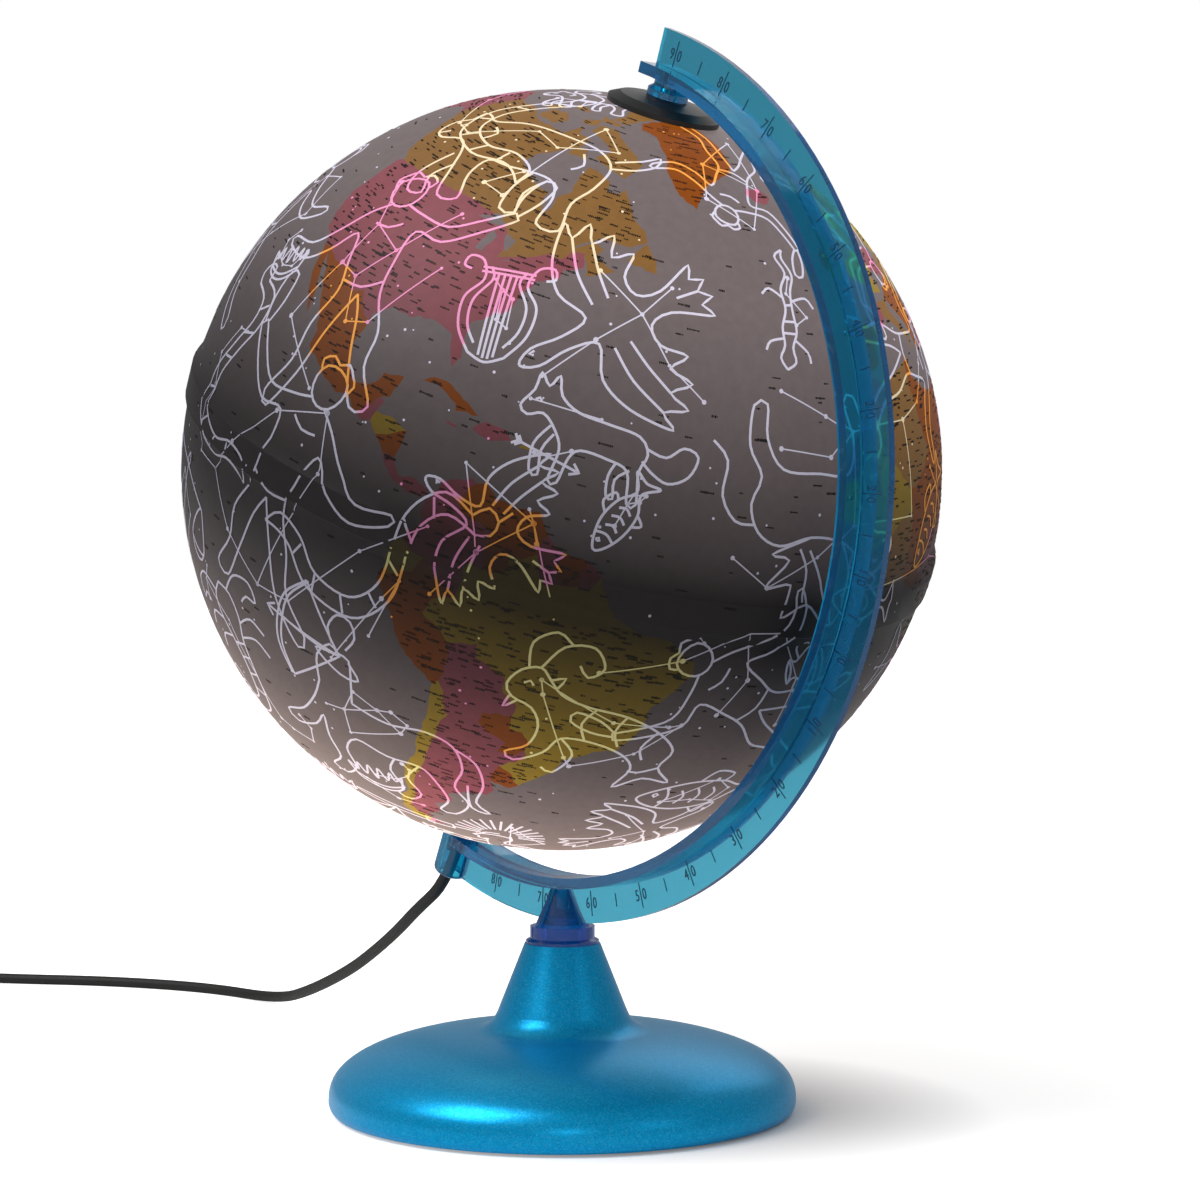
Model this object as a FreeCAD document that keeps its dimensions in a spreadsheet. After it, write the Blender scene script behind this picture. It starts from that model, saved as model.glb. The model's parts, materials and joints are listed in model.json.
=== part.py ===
"""Illuminated celestial desk globe: a printed ball on a T-section meridian arm and a weighted base.

Frame: millimetres, +Z up, origin at the centre of the base's footprint.  The arm stands in the XZ
plane and bulges towards +X, and the ball's axis leans towards +X at its north end.
Pieces of the ball are drawn round local Z with the ball's centre at the local origin, and their
Placement leans them over and lifts them to the ball's centre.
"""
import FreeCAD, Part
import Sketcher
import math
import os
import re
from FreeCAD import Placement, Rotation, Vector

doc = FreeCAD.newDocument("CelestialGlobe")

# Driving dimensions: millimetres and degrees.
SIZES = {
    # ball
    "ball_radius": 125.0,
    "shell_wall": 1.6,
    "rim_proud": 1.3,
    "rim_height": 8.0,
    "rim_skirt": 4.0,
    "ring_half": 6.0,
    "ring_thick": 1.6,
    "north_hole": 8.0,
    "south_hole": 20.0,
    "axis_tilt": 23.5,
    # meridian arm
    "flange_gap": 9.0,
    "flange_thick": 3.6,
    "flange_width": 14.4,
    "web_reach": 11.6,
    "web_thick": 2.4,
    "north_end": 93.3,
    "south_end": 88.5,
    "arm_clearance": 1.4,
    "spigot_radius": 6.3,
    "spigot_bore": 4.0,
    "spigot_drop": 26.0,
    "spigot_rise": 13.0,
    # north pivot
    "cap_radius": 18.4,
    "cap_rise": 3.3,
    "spool_radius": 6.7,
    "spool_waist": 5.2,
    "pin_radius": 2.0,
    "pin_depth": 12.0,
    # foot and collar
    "foot_radius": 9.2,
    "foot_tip": 3.0,
    "stem_radius": 5.2,
    "stem_depth": 22.0,
    "collar_radius": 10.8,
    "collar_height": 5.7,
    "screw_radius": 1.75,
    # base
    "base_radius": 77.6,
    "base_height": 55.8,
    "neck_radius": 12.6,
    "dome_rise": 23.0,
    "dome_foot": 5.0,
    "base_wall": 2.4,
    "base_lift": 1.0,
    "post_circle": 50.0,
    "post_radius": 4.0,
    "cover_thick": 1.8,
    "weight_radius": 57.0,
    "weight_thick": 6.0,
    "pad_thick": 1.6,
    "pad_radius": 6.0,
    "pad_circle": 64.0,
    "access_radius": 4.5,
    # lamp
    "holder_radius": 13.5,
    "holder_length": 44.0,
    "bulb_radius": 22.5,
    "glass_wall": 0.8,
    # cord and what is on it
    "cord_diameter": 4.2,
    "coil_radius": 22.8,
    "switch_length": 56.0,
    "switch_width": 24.0,
    "switch_height": 14.0,
    "switch_wall": 1.8,
    "rocker_length": 16.0,
    "rocker_width": 9.0,
    "plug_length": 36.0,
    "plug_width": 26.0,
    "plug_height": 13.8,
    "plug_pin_radius": 2.0,
    "plug_pin_length": 19.0,
    # clearances
    "fit_gap": 0.1,
    "running_gap": 0.05,
    "cord_gap": 0.2,
}
FLANGE_IN = "(ball_radius + flange_gap)"
FLANGE_OUT = "(ball_radius + flange_gap + flange_thick)"
WEB_OUT = "(ball_radius + flange_gap + flange_thick + web_reach)"
COLLAR_TOP = "(base_height + collar_height)"
CENTRE = f"({COLLAR_TOP} + arm_clearance + {WEB_OUT})"
COVER_TOP = "(pad_thick + cover_thick)"
STEM_END = "(base_height - stem_depth)"
NECK_FLOOR = "(base_height - stem_depth - 3)"
SPIGOT_TOP = "(ball_radius - spigot_rise)"
DOME_POWER = 2.35
CONE_FLARE = 0.396

sheet = doc.addObject("Spreadsheet::Sheet", "Sizes")
for row, (alias, number) in enumerate(SIZES.items(), start=1):
    sheet.set(f"A{row}", alias)
    sheet.set(f"B{row}", str(number))
    sheet.setAlias(f"B{row}", alias)
doc.recompute()


def full(formula):
    """The formula with each size's name pointing at its cell."""
    return re.sub(r"[a-z][a-z_]+", lambda m: f"Sizes.{m[0]}" if m[0] in SIZES else m[0], str(formula))


def worth(formula):
    """The formula's present value."""
    return float(sheet.evalExpression(full(formula)))


def bind(item, **formulas):
    """Ties properties of an object to the sheet; __ in a name stands for a dot."""
    for prop, formula in formulas.items():
        item.setExpression(prop.replace("__", "."), full(formula))
    return item


def primitive(kind, name, at=("0", "0", "0"), turn=None, **formulas):
    """A Part primitive with its sizes and its place tied to the sheet."""
    item = doc.addObject(f"Part::{kind}", name)
    if turn:
        item.Placement = Placement(Vector(), Rotation(Vector(*turn[0]), turn[1]))
    bind(item, Placement__Base__x=at[0], Placement__Base__y=at[1], Placement__Base__z=at[2])
    return bind(item, **formulas)


def joined(name, *items):
    item = doc.addObject("Part::MultiFuse", name)
    item.Shapes = list(items)
    return item


def grouped(name, *items):
    item = doc.addObject("Part::Compound", name)
    item.Links = list(items)
    return item


def cut(name, base, tool):
    item = doc.addObject("Part::Cut", name)
    item.Base = base
    item.Tool = tool
    return item


def common(name, base, tool):
    item = doc.addObject("Part::Common", name)
    item.Base = base
    item.Tool = tool
    return item


def on_axis(item):
    """Leans a piece drawn round local Z onto the ball's axis, at the ball's centre."""
    item.Placement = Placement(Vector(), Rotation(Vector(0, 1, 0), worth("axis_tilt")))
    return bind(item, Placement__Rotation__Angle="axis_tilt", Placement__Base__z=CENTRE)


def arc_through(start, end, radius):
    """An arc of signed radius from start to end: anticlockwise when positive."""
    middle = (start + end) * 0.5
    chord = end - start
    rise = math.sqrt(max(radius**2 - (chord.Length / 2) ** 2, 0.0))
    side = Vector(-chord.y, chord.x, 0).normalize() * math.copysign(rise, radius)
    centre = middle + side
    ends = (start, end) if radius > 0 else (end, start)
    angles = [math.atan2((p - centre).y, (p - centre).x) for p in ends]
    return Part.ArcOfCircle(Part.Circle(centre, Vector(0, 0, 1), abs(radius)), *angles)


def turned(name, outline):
    """A body of revolution round local Z.

    Each outline point is (radius, height), or (radius, height, bend) where the line that arrives at
    the point is an arc of that signed radius.
    """
    body = doc.addObject("PartDesign::Body", name)
    sketch = body.newObject("Sketcher::SketchObject", f"{name}_outline")
    plane = next(o for o in body.Origin.OriginFeatures if o.Role == "XZ_Plane")
    sketch.AttachmentSupport = [(plane, "")]
    sketch.MapMode = "FlatFace"
    points = [Vector(worth(p[0]), worth(p[1]), 0) for p in outline]
    ends = []
    for i, start in enumerate(points):
        arriving = outline[(i + 1) % len(outline)]
        end = points[(i + 1) % len(points)]
        if len(arriving) == 3:
            radius = worth(arriving[2])
            edge = sketch.addGeometry(arc_through(start, end, radius))
            ends.append((edge, 1, 2) if radius > 0 else (edge, 2, 1))
            at = sketch.addConstraint(Sketcher.Constraint("Radius", edge, abs(radius)))
            sketch.setExpression(f"Constraints[{at}]", full(f"abs({arriving[2]})"))
        else:
            edge = sketch.addGeometry(Part.LineSegment(start, end))
            ends.append((edge, 1, 2))
    for i, (edge, first, _) in enumerate(ends):
        before = ends[i - 1]
        sketch.addConstraint(Sketcher.Constraint("Coincident", before[0], before[2], edge, first))
        for way, formula, value, axis in zip(
            ("DistanceX", "DistanceY"), outline[i][:2], (points[i].x, points[i].y), (-2, -1)
        ):
            if str(formula) == "0":
                sketch.addConstraint(Sketcher.Constraint("PointOnObject", edge, first, axis))
                continue
            at = sketch.addConstraint(Sketcher.Constraint(way, -1, 1, edge, first, value))
            sketch.setExpression(f"Constraints[{at}]", full(formula))
    turn = body.newObject("PartDesign::Revolution", f"{name}_turned")
    turn.Profile = sketch
    turn.ReferenceAxis = (sketch, ["V_Axis"])
    turn.Angle = 360.0
    body.Tip = turn
    return body


def ring(name, inner, outer, low, high):
    """A plain ring or disc round local Z."""
    return turned(name, [(inner, low), (outer, low), (outer, high), (inner, high)])


def ball_height(radius, across):
    """Height over the ball's centre of a sphere's surface at a distance from its axis."""
    return f"sqrt(({radius}) ^ 2 - ({across}) ^ 2)"


PARTS = []


def finish(item, label=None):
    """Keeps an object as a sub-part under its own label."""
    item.Label = label or item.Name
    PARTS.append(item)
    return item


def feature(name, shape):
    item = doc.addObject("Part::Feature", name)
    item.Shape = shape
    return item


# ---------------------------------------------------------------- base


def dome_curve(inset, top_radius):
    """The dome's outline, a quarter of a rounded ellipse, from its widest place in to top_radius."""
    reach = worth("base_radius") - inset
    rise = worth("dome_rise") - inset
    power = 2.0 / DOME_POWER
    last = math.acos((top_radius / reach) ** (1 / power))
    steps = 12
    points = []
    for i in range(steps + 1):
        angle = last * i / steps
        height = worth("dome_foot") + rise * math.sin(angle) ** power
        points.append(Vector(reach * math.cos(angle) ** power, 0, height))
    curve = Part.BSplineCurve()
    curve.interpolate(points)
    return curve


def dome_ceiling(across):
    """Height of the dome's inner face at a distance from the axis."""
    share = across / (worth("base_radius") - worth("base_wall"))
    rise = worth("dome_rise") - worth("base_wall")
    return worth("dome_foot") + rise * (1 - share**DOME_POWER) ** (1 / DOME_POWER)


def cone_radius(height):
    """Radius of the neck's cone at a height: it flares downwards from the neck's top."""
    return worth("neck_radius") + CONE_FLARE * (worth("base_height") - height)


def dome_and_blend(inset, dome_start, cone_start):
    """The dome's outline, the hollow curve that runs it up onto the neck's cone, and where that ends."""
    dome = dome_curve(inset, dome_start)
    foot = dome.value(dome.LastParameter)
    slope = dome.tangent(dome.LastParameter)[0]
    head = Vector(cone_radius(cone_start) - inset, 0, cone_start)
    gap = head - foot
    along = (gap.x + CONE_FLARE * gap.z) / (slope.x + CONE_FLARE * slope.z)
    blend = Part.BezierCurve()
    blend.setPoles([foot, foot + slope * along, head])
    return dome, blend, head


def straight(*stops):
    return [Part.LineSegment(a, b).toShape() for a, b in zip(stops, stops[1:])]


def base_shell():
    """The one-piece moulding: dome, neck cone, neck floor and three screw posts."""
    wall = worth("base_wall")
    rim = worth("base_radius")
    top = worth("base_height")
    low = worth("base_lift")
    floor_low = worth(NECK_FLOOR)
    floor_high = worth(STEM_END)
    hole = worth("screw_radius + 0.4")
    bore = worth("stem_radius + fit_gap")
    tuck = Vector(rim - 0.45, 0, 0.45 * worth("dome_foot"))
    dome, blend, head = dome_and_blend(0.0, 30.0, floor_high - 0.8)
    inner, inner_blend, inner_head = dome_and_blend(wall, 27.0, floor_low - 0.8)
    start = Vector(hole, 0, floor_high)
    neck_inside = Vector(cone_radius(floor_low) - wall, 0, floor_low)
    lip = inner.value(inner.FirstParameter)
    heel = Vector(lip.x - 0.6, 0, lip.z - 1.5)
    toe = Vector(heel.x, 0, low)
    edge = Vector(rim - 1.4, 0, low)
    edges = straight(start, Vector(hole, 0, floor_low), neck_inside, inner_head)
    edges += [inner_blend.toShape(), inner.toShape()]
    edges += straight(lip, heel, toe, edge)
    edges.append(Part.Arc(edge, tuck, dome.value(dome.FirstParameter)).toShape())
    edges += [dome.toShape(), blend.toShape()]
    edges += straight(
        head,
        Vector(worth("neck_radius"), 0, top),
        Vector(bore, 0, top),
        Vector(bore, 0, top - wall),
        Vector(cone_radius(top - wall) - wall, 0, top - wall),
        Vector(cone_radius(floor_high) - wall, 0, floor_high),
        start,
    )
    outline = Part.Wire(Part.sortEdges(edges)[0])
    shape = Part.Face(outline).revolve(Vector(), Vector(0, 0, 1), 360)
    reach = worth("post_radius")
    circle = worth("post_circle")
    post_low = worth(COVER_TOP)
    post_high = dome_ceiling(circle + reach) + 0.8 * wall
    for angle in POST_ANGLES:
        at = Vector(circle * math.cos(angle), circle * math.sin(angle), post_low)
        shape = shape.fuse(Part.makeCylinder(reach, post_high - post_low, at))
        shape = shape.cut(Part.makeCylinder(1.2, post_high - post_low - 3, at))
    return shape


POST_ANGLES = [math.radians(a) for a in (90, 210, 330)]
PAD_ANGLES = [math.radians(a) for a in (45, 135, 225, 315)]


def ring_of(kind, name, circle, angles, low, **formulas):
    """Equal primitives standing round the base's axis."""
    return [
        primitive(
            kind,
            f"{name}_{i}",
            at=(f"{circle} * {math.cos(a):.6f}", f"{circle} * {math.sin(a):.6f}", low),
            **formulas,
        )
        for i, a in enumerate(angles)
    ]


finish(feature("base_shell", base_shell()))

weight_disc = ring("weight_disc", "stem_radius + 9", "weight_radius", COVER_TOP, f"{COVER_TOP} + weight_thick")
weight_holes = ring_of(
    "Cylinder", "weight_hole", "post_circle", POST_ANGLES, "0", Radius="post_radius + 0.5", Height="30"
)
finish(cut("base_weight", weight_disc, joined("weight_holes", *weight_holes)))

cover_disc = ring("cover_disc", "access_radius", "base_radius - base_wall - 0.6 - 4 * fit_gap", "pad_thick", COVER_TOP)
cover_sinks = ring_of(
    "Cone", "cover_sink", "post_circle", POST_ANGLES, "pad_thick",
    Radius1="3.15", Radius2="1.65", Height="cover_thick",
)
finish(cut("base_cover", cover_disc, joined("cover_sinks", *cover_sinks)))

heads = ring_of(
    "Cone", "cover_screw_head", "post_circle", POST_ANGLES, "pad_thick",
    Radius1="3.0", Radius2="1.5", Height="cover_thick",
)
shanks = ring_of(
    "Cylinder", "cover_screw_shank", "post_circle", POST_ANGLES, COVER_TOP, Radius="1.15", Height="9"
)
finish(joined("cover_screws", *heads, *shanks))

pads = ring_of("Cylinder", "pad", "pad_circle", PAD_ANGLES, "0", Radius="pad_radius", Height="pad_thick")
middle_pad = primitive("Cylinder", "middle_pad", Radius="pad_radius", Height="pad_thick")
hole_plug = primitive(
    "Cylinder", "hole_plug", at=("0", "0", "pad_thick - 0.5"), Radius="access_radius - fit_gap",
    Height="cover_thick + 0.5",
)
finish(grouped("rubber_feet", *pads, joined("middle_foot", middle_pad, hole_plug)))

# ---------------------------------------------------------------- meridian arm and what holds it


def arc_plate(name, inner, outer, width, north):
    """A flat plate bent round the ball: a sector of a ring of the given width, across local Y."""
    reach = f"{north} + south_end"
    plate = cut(
        name,
        primitive("Cylinder", f"{name}_outer", Radius=outer, Height=width, Angle=reach),
        primitive("Cylinder", f"{name}_inner", Radius=inner, Height=width),
    )
    plate.Placement = Placement(Vector(), Rotation(Vector(1, 0, 0), 90))
    turn = Placement(Vector(0, worth(width) / 2, 0), Rotation(Vector(1, 0, 0), 90))
    start = Placement(Vector(), Rotation(Vector(0, 0, 1), -worth("south_end")))
    lean = Placement(Vector(0, 0, worth(CENTRE)), Rotation(Vector(0, 1, 0), worth("axis_tilt")))
    plate.Placement = lean * turn * start
    return plate


web = arc_plate("web", f"{FLANGE_IN} + 0.5", WEB_OUT, "web_thick", "north_end")
flange = arc_plate("flange", FLANGE_IN, FLANGE_OUT, "flange_width", "(north_end + 0.3)")
spigot = on_axis(
    turned(
        "spigot",
        [
            ("spigot_bore", f"0 - {SPIGOT_TOP}"),
            ("spigot_bore", "0 - ball_radius - spigot_drop"),
            ("spigot_radius", "0 - ball_radius - spigot_drop + spigot_radius - spigot_bore",
             "spigot_radius - spigot_bore"),
            ("spigot_radius", f"0 - {SPIGOT_TOP}"),
        ],
    )
)
foot_cone = primitive(
    "Cone", "foot_cone", at=("0", "0", COLLAR_TOP), Radius1="foot_radius", Radius2="foot_tip",
    Height=f"{CENTRE} - {FLANGE_OUT} - {COLLAR_TOP} + 0.5",
)
ribs = []
for across, along in ((1.2, 21.6), (21.6, 1.2)):
    rib = primitive(
        "Box", f"rib_{len(ribs)}", at=(str(-across / 2), str(-along / 2), COLLAR_TOP),
        Length=str(across), Width=str(along), Height=f"{CENTRE} - {FLANGE_OUT} - {COLLAR_TOP} + 0.5",
    )
    ribs.append(rib)
rib_bound = primitive(
    "Cone", "rib_bound", at=("0", "0", COLLAR_TOP), Radius1="foot_radius + 1.2", Radius2="foot_tip + 1.4",
    Height=f"{CENTRE} - {FLANGE_OUT} - {COLLAR_TOP} + 0.5",
)
ribs = common("ribs", joined("rib_cross", *ribs), rib_bound)
foot_stem = primitive(
    "Cylinder", "foot_stem", at=("0", "0", STEM_END), Radius="stem_radius",
    Height=f"{COLLAR_TOP} - ({STEM_END}) + 0.5",
)
arm_solid = joined("arm_solid", web, flange, spigot, foot_cone, ribs, foot_stem)
spigot_hole = on_axis(
    ring("spigot_hole", "0", "spigot_bore", "0 - ball_radius - spigot_drop - 2", f"1 - {SPIGOT_TOP}")
)
pilot = primitive(
    "Cylinder", "pilot", at=("0", "0", f"{STEM_END} - 1"), Radius="screw_radius - 0.4", Height="19"
)
pin_seat = on_axis(
    ring("pin_seat", "0", "pin_radius", f"{FLANGE_IN} - 2", f"{FLANGE_IN} + flange_thick - 0.8")
)
finish(cut("meridian_arm", arm_solid, joined("arm_holes", spigot_hole, pilot, pin_seat)))

finish(
    turned(
        "arm_collar",
        [
            ("stem_radius + fit_gap", "base_height"),
            ("collar_radius + 1.4", "base_height"),
            ("collar_radius + 1.4", "base_height + 1"),
            ("collar_radius", "base_height + 1.8"),
            ("collar_radius", COLLAR_TOP),
            ("stem_radius + fit_gap", COLLAR_TOP),
        ],
    )
)
foot_washer = turned(
    "foot_washer",
    [
        ("screw_radius + 0.3", f"{NECK_FLOOR} - 1.2"),
        ("7", f"{NECK_FLOOR} - 1.2"),
        ("7", NECK_FLOOR),
        ("screw_radius + 0.3", NECK_FLOOR),
    ],
)
finish(foot_washer)
screw_shank = primitive(
    "Cylinder", "screw_shank", at=("0", "0", f"{NECK_FLOOR} - 1.2"), Radius="screw_radius", Height="19"
)
screw_head = primitive(
    "Cylinder", "screw_head", at=("0", "0", f"{NECK_FLOOR} - 4"), Radius="screw_radius + 1.9", Height="2.8"
)
finish(joined("foot_screw", screw_shank, screw_head))

# ---------------------------------------------------------------- north pivot

CAP_TOP = f"({ball_height('ball_radius', '0')} + cap_rise)"
finish(
    on_axis(
        turned(
            "north_pivot_spool",
            [
                ("pin_radius", f"{CAP_TOP} + 0.4"),
                ("spool_radius", f"{CAP_TOP} + 0.4"),
                ("spool_radius", f"{CAP_TOP} + 2.4"),
                ("spool_waist", f"{CAP_TOP} + 3.6"),
                ("spool_waist", f"{FLANGE_IN} + 0.05"),
                ("pin_radius", f"{FLANGE_IN} + 0.05"),
            ],
        )
    )
)
finish(
    on_axis(
        ring("north_pivot_pin", "0", "pin_radius", "ball_radius - pin_depth", f"{FLANGE_IN} + flange_thick - 0.8")
    )
)
CAP_SEAT = "(ball_radius + fit_gap)"
PIN_BORE = "pin_radius + running_gap"
finish(
    on_axis(
        turned(
            "north_pole_cap",
            [
                ("pin_radius + 0.4", ball_height(CAP_SEAT, "north_hole")),
                ("north_hole", ball_height(CAP_SEAT, "north_hole")),
                ("cap_radius", ball_height(CAP_SEAT, "cap_radius"), f"0 - {CAP_SEAT}"),
                ("cap_radius", f"{CAP_TOP} - 2.9"),
                ("cap_radius - 3.6", f"{CAP_TOP} - 1.1"),
                ("spool_radius + 0.6", CAP_TOP),
                ("pin_radius + 0.4", CAP_TOP),
            ],
        )
    )
)
BUSH_SEAT = f"({ball_height('(ball_radius - shell_wall)', '(north_hole + 2.6)')} - fit_gap)"
finish(
    on_axis(
        turned(
            "north_bush",
            [
                (PIN_BORE, "ball_radius - 9"),
                ("north_hole + 2.6", "ball_radius - 9"),
                ("north_hole + 2.6", BUSH_SEAT),
                ("north_hole - fit_gap", BUSH_SEAT),
                ("north_hole - fit_gap", ball_height("ball_radius", "north_hole")),
                (PIN_BORE, ball_height("ball_radius", "north_hole")),
            ],
        )
    )
)

# ---------------------------------------------------------------- ball

INSIDE = "(ball_radius - shell_wall)"
LAP = "(ball_radius + fit_gap)"
finish(
    on_axis(
        turned(
            "northern_hemisphere",
            [
                (LAP, "0 - rim_skirt"),
                ("ball_radius + rim_proud - 0.6", "0 - rim_skirt"),
                ("ball_radius + rim_proud", "0.6 - rim_skirt"),
                ("ball_radius + rim_proud", "rim_height"),
                (ball_height("ball_radius", "rim_height + 4"), "rim_height + 4"),
                ("north_hole", ball_height("ball_radius", "north_hole"), "ball_radius"),
                ("north_hole", ball_height(INSIDE, "north_hole")),
                (ball_height(INSIDE, "2 * fit_gap"), "2 * fit_gap", f"0 - {INSIDE}"),
                (LAP, "2 * fit_gap"),
            ],
        )
    )
)
finish(
    on_axis(
        turned(
            "southern_hemisphere",
            [
                (INSIDE, "0"),
                ("south_hole", f"0 - {ball_height(INSIDE, 'south_hole')}", f"0 - {INSIDE}"),
                ("south_hole", f"0 - {ball_height('ball_radius', 'south_hole')}"),
                ("ball_radius", "0", "ball_radius"),
            ],
        )
    )
)
RING_OUT = f"({ball_height(INSIDE, 'ring_half')} - fit_gap)"
finish(on_axis(ring("equator_joining_ring", f"{RING_OUT} - ring_thick", RING_OUT, "0 - ring_half", "ring_half")))
BUSH_BORE = "spigot_radius + running_gap"
finish(
    on_axis(
        turned(
            "south_bush",
            [
                (BUSH_BORE, "0 - ball_radius - 1.4"),
                ("south_hole", "0 - ball_radius - 1.2"),
                ("south_hole + 3", "0.8 - ball_radius"),
                ("south_hole + 3", f"0 - {ball_height(LAP, 'south_hole + 3')}"),
                ("south_hole - fit_gap", f"0 - {ball_height(LAP, 'south_hole - fit_gap')}", f"0 - {LAP}"),
                ("south_hole - fit_gap", "6 - ball_radius"),
                (BUSH_BORE, "6 - ball_radius"),
            ],
        )
    )
)

# ---------------------------------------------------------------- lamp, inside the ball

HOLDER_LOW = f"(0 - {SPIGOT_TOP} - 4)"
HOLDER_HIGH = f"({HOLDER_LOW} + holder_length)"
SCREW_FLOOR = f"({HOLDER_LOW} + 18)"
finish(
    on_axis(
        turned(
            "lampholder_body",
            [
                ("spigot_radius + running_gap", HOLDER_LOW),
                ("spigot_radius + 3", HOLDER_LOW),
                ("holder_radius", f"{HOLDER_LOW} + 8"),
                ("holder_radius", HOLDER_HIGH),
                ("holder_radius - 5.3", HOLDER_HIGH),
                ("holder_radius - 5.3", SCREW_FLOOR),
                ("2.3", SCREW_FLOOR),
                ("2.3", f"{SCREW_FLOOR} - 5"),
                ("spigot_radius + running_gap", f"0 - {SPIGOT_TOP} + fit_gap"),
            ],
        )
    )
)
THREAD = "holder_radius - 5.4"
finish(on_axis(ring("lampholder_screw_shell", f"{THREAD} - 0.5", THREAD, f"{SCREW_FLOOR} + 1", f"{HOLDER_HIGH} - 1")))
finish(on_axis(ring("lampholder_centre_contact", "0", "3", f"{SCREW_FLOOR} + 0.1", f"{SCREW_FLOOR} + 1.4")))
finish(on_axis(ring("internal_lead", "0", "cord_diameter / 2", "0 - ball_radius - 9", SCREW_FLOOR)))
finish(on_axis(ring("cord_grip", "cord_diameter / 2 + 0.05", "spigot_bore - fit_gap",
                    "0 - ball_radius - 16", "0 - ball_radius - 12")))
BULB_FOOT = f"({SCREW_FLOOR} + 1.6)"
BULB_NECK = f"({BULB_FOOT} + 20)"
BULB_CENTRE = f"({BULB_NECK} + bulb_radius + 8)"
finish(
    on_axis(
        turned(
            "bulb_cap",
            [
                ("0", BULB_FOOT),
                ("3", BULB_FOOT),
                ("6.9", f"{BULB_FOOT} + 4"),
                ("6.9", BULB_NECK),
                ("0", BULB_NECK),
            ],
        )
    )
)


def on_bulb(radius, across, sign):
    return f"{BULB_CENTRE} {sign} {ball_height(radius, across)}"


GLASS_IN = "(bulb_radius - glass_wall)"
glass = turned(
    "bulb_glass",
    [
        ("5.6", f"{BULB_NECK} + 0.05"),
        ("6.4", f"{BULB_NECK} + 0.05"),
        ("10", f"{BULB_CENTRE} - {ball_height('bulb_radius', '10')}"),
        ("bulb_radius", BULB_CENTRE, "bulb_radius"),
        ("0", f"{BULB_CENTRE} + bulb_radius", "bulb_radius"),
        ("0", f"{BULB_CENTRE} + {GLASS_IN}"),
        (GLASS_IN, BULB_CENTRE, f"0 - {GLASS_IN}"),
        ("9.3", f"{BULB_CENTRE} - {ball_height(GLASS_IN, '9.3')}", f"0 - {GLASS_IN}"),
    ],
)
finish(on_axis(glass))
mount = turned(
    "bulb_mount",
    [
        ("0", f"{BULB_NECK} + 0.05"),
        ("4", f"{BULB_NECK} + 0.05"),
        ("1.5", f"{BULB_NECK} + 8"),
        ("1.2", BULB_CENTRE),
        ("0", BULB_CENTRE),
    ],
)
coil_bar = primitive(
    "Cylinder", "filament_bar", at=("0 - 7", "0", f"{BULB_CENTRE} - 0.5"), turn=((0, 1, 0), 90),
    Radius="0.4", Height="14",
)
finish(on_axis(joined("bulb_filament", mount, coil_bar)))

# ---------------------------------------------------------------- cord, switch and plug

# The cord leaves the spigot, drops behind the base and runs over the table away from the arm.  Its
# points are (leftward, backward, up) from the base's centre, seen by someone who looks along the
# heading below, and the coil's middle is among them.
HEADING = math.radians(48.9)
LEFTWARD = Vector(-math.cos(HEADING), -math.sin(HEADING), 0)
BACKWARD = Vector(-math.sin(HEADING), math.cos(HEADING), 0)


def floor_point(left, back, up):
    return LEFTWARD * left + BACKWARD * back + Vector(0, 0, up)


def spigot_point(drop):
    """A point of the ball's axis, a distance below the ball's centre."""
    lean = math.radians(worth("axis_tilt"))
    return Vector(-drop * math.sin(lean), 0, worth(CENTRE) - drop * math.cos(lean))


REST = worth("cord_diameter") / 2
MOUTH = worth("ball_radius")
FREE_ROUTE = [spigot_point(MOUTH + 9), spigot_point(MOUTH + 29)] + [
    floor_point(*p)
    for p in (
        (52.8, 64, 58.1),
        (60.4, 81, 48.7),
        (70, 102, 38.5),
        (81.8, 129, 27.1),
        (101, 174, 12.4),
        (118, 216, REST),
        (150, 246, REST),
        (194, 264, REST),
        (238, 270.5, REST),
        (268, 271, 3.3),
        (286, 270, 6.5),
    )
]
SWITCH_BACK = 270.0
SWITCH_NEAR = 286.0
switch_far = SWITCH_NEAR + worth("switch_length")
LEAD_ROUTE = [
    floor_point(*p)
    for p in (
        (switch_far, SWITCH_BACK, 6.5),
        (switch_far + 18, SWITCH_BACK - 0.6, 3.6),
        (switch_far + 36, SWITCH_BACK, REST),
        (switch_far + 50, SWITCH_BACK + 0.6, REST),
    )
]
coil_outer = worth("coil_radius + 1.15 * cord_diameter")
COIL_LEFT = switch_far + 50
COIL_BACK = SWITCH_BACK + coil_outer
COIL_TURNS = 8.5
COIL_LAYERS = 4
coil_height = COIL_LAYERS * worth("cord_diameter + 0.1")
TAIL_ROUTE = [
    floor_point(*p)
    for p in (
        (COIL_LEFT, COIL_BACK + coil_outer, coil_height - REST),
        (COIL_LEFT - 20, COIL_BACK + coil_outer + 1.0, coil_height - REST - 2.5),
        (COIL_LEFT - 38, COIL_BACK + coil_outer + 1.2, 9.4),
        (COIL_LEFT - 56, COIL_BACK + coil_outer + 0.4, 6.9),
    )
]


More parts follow.
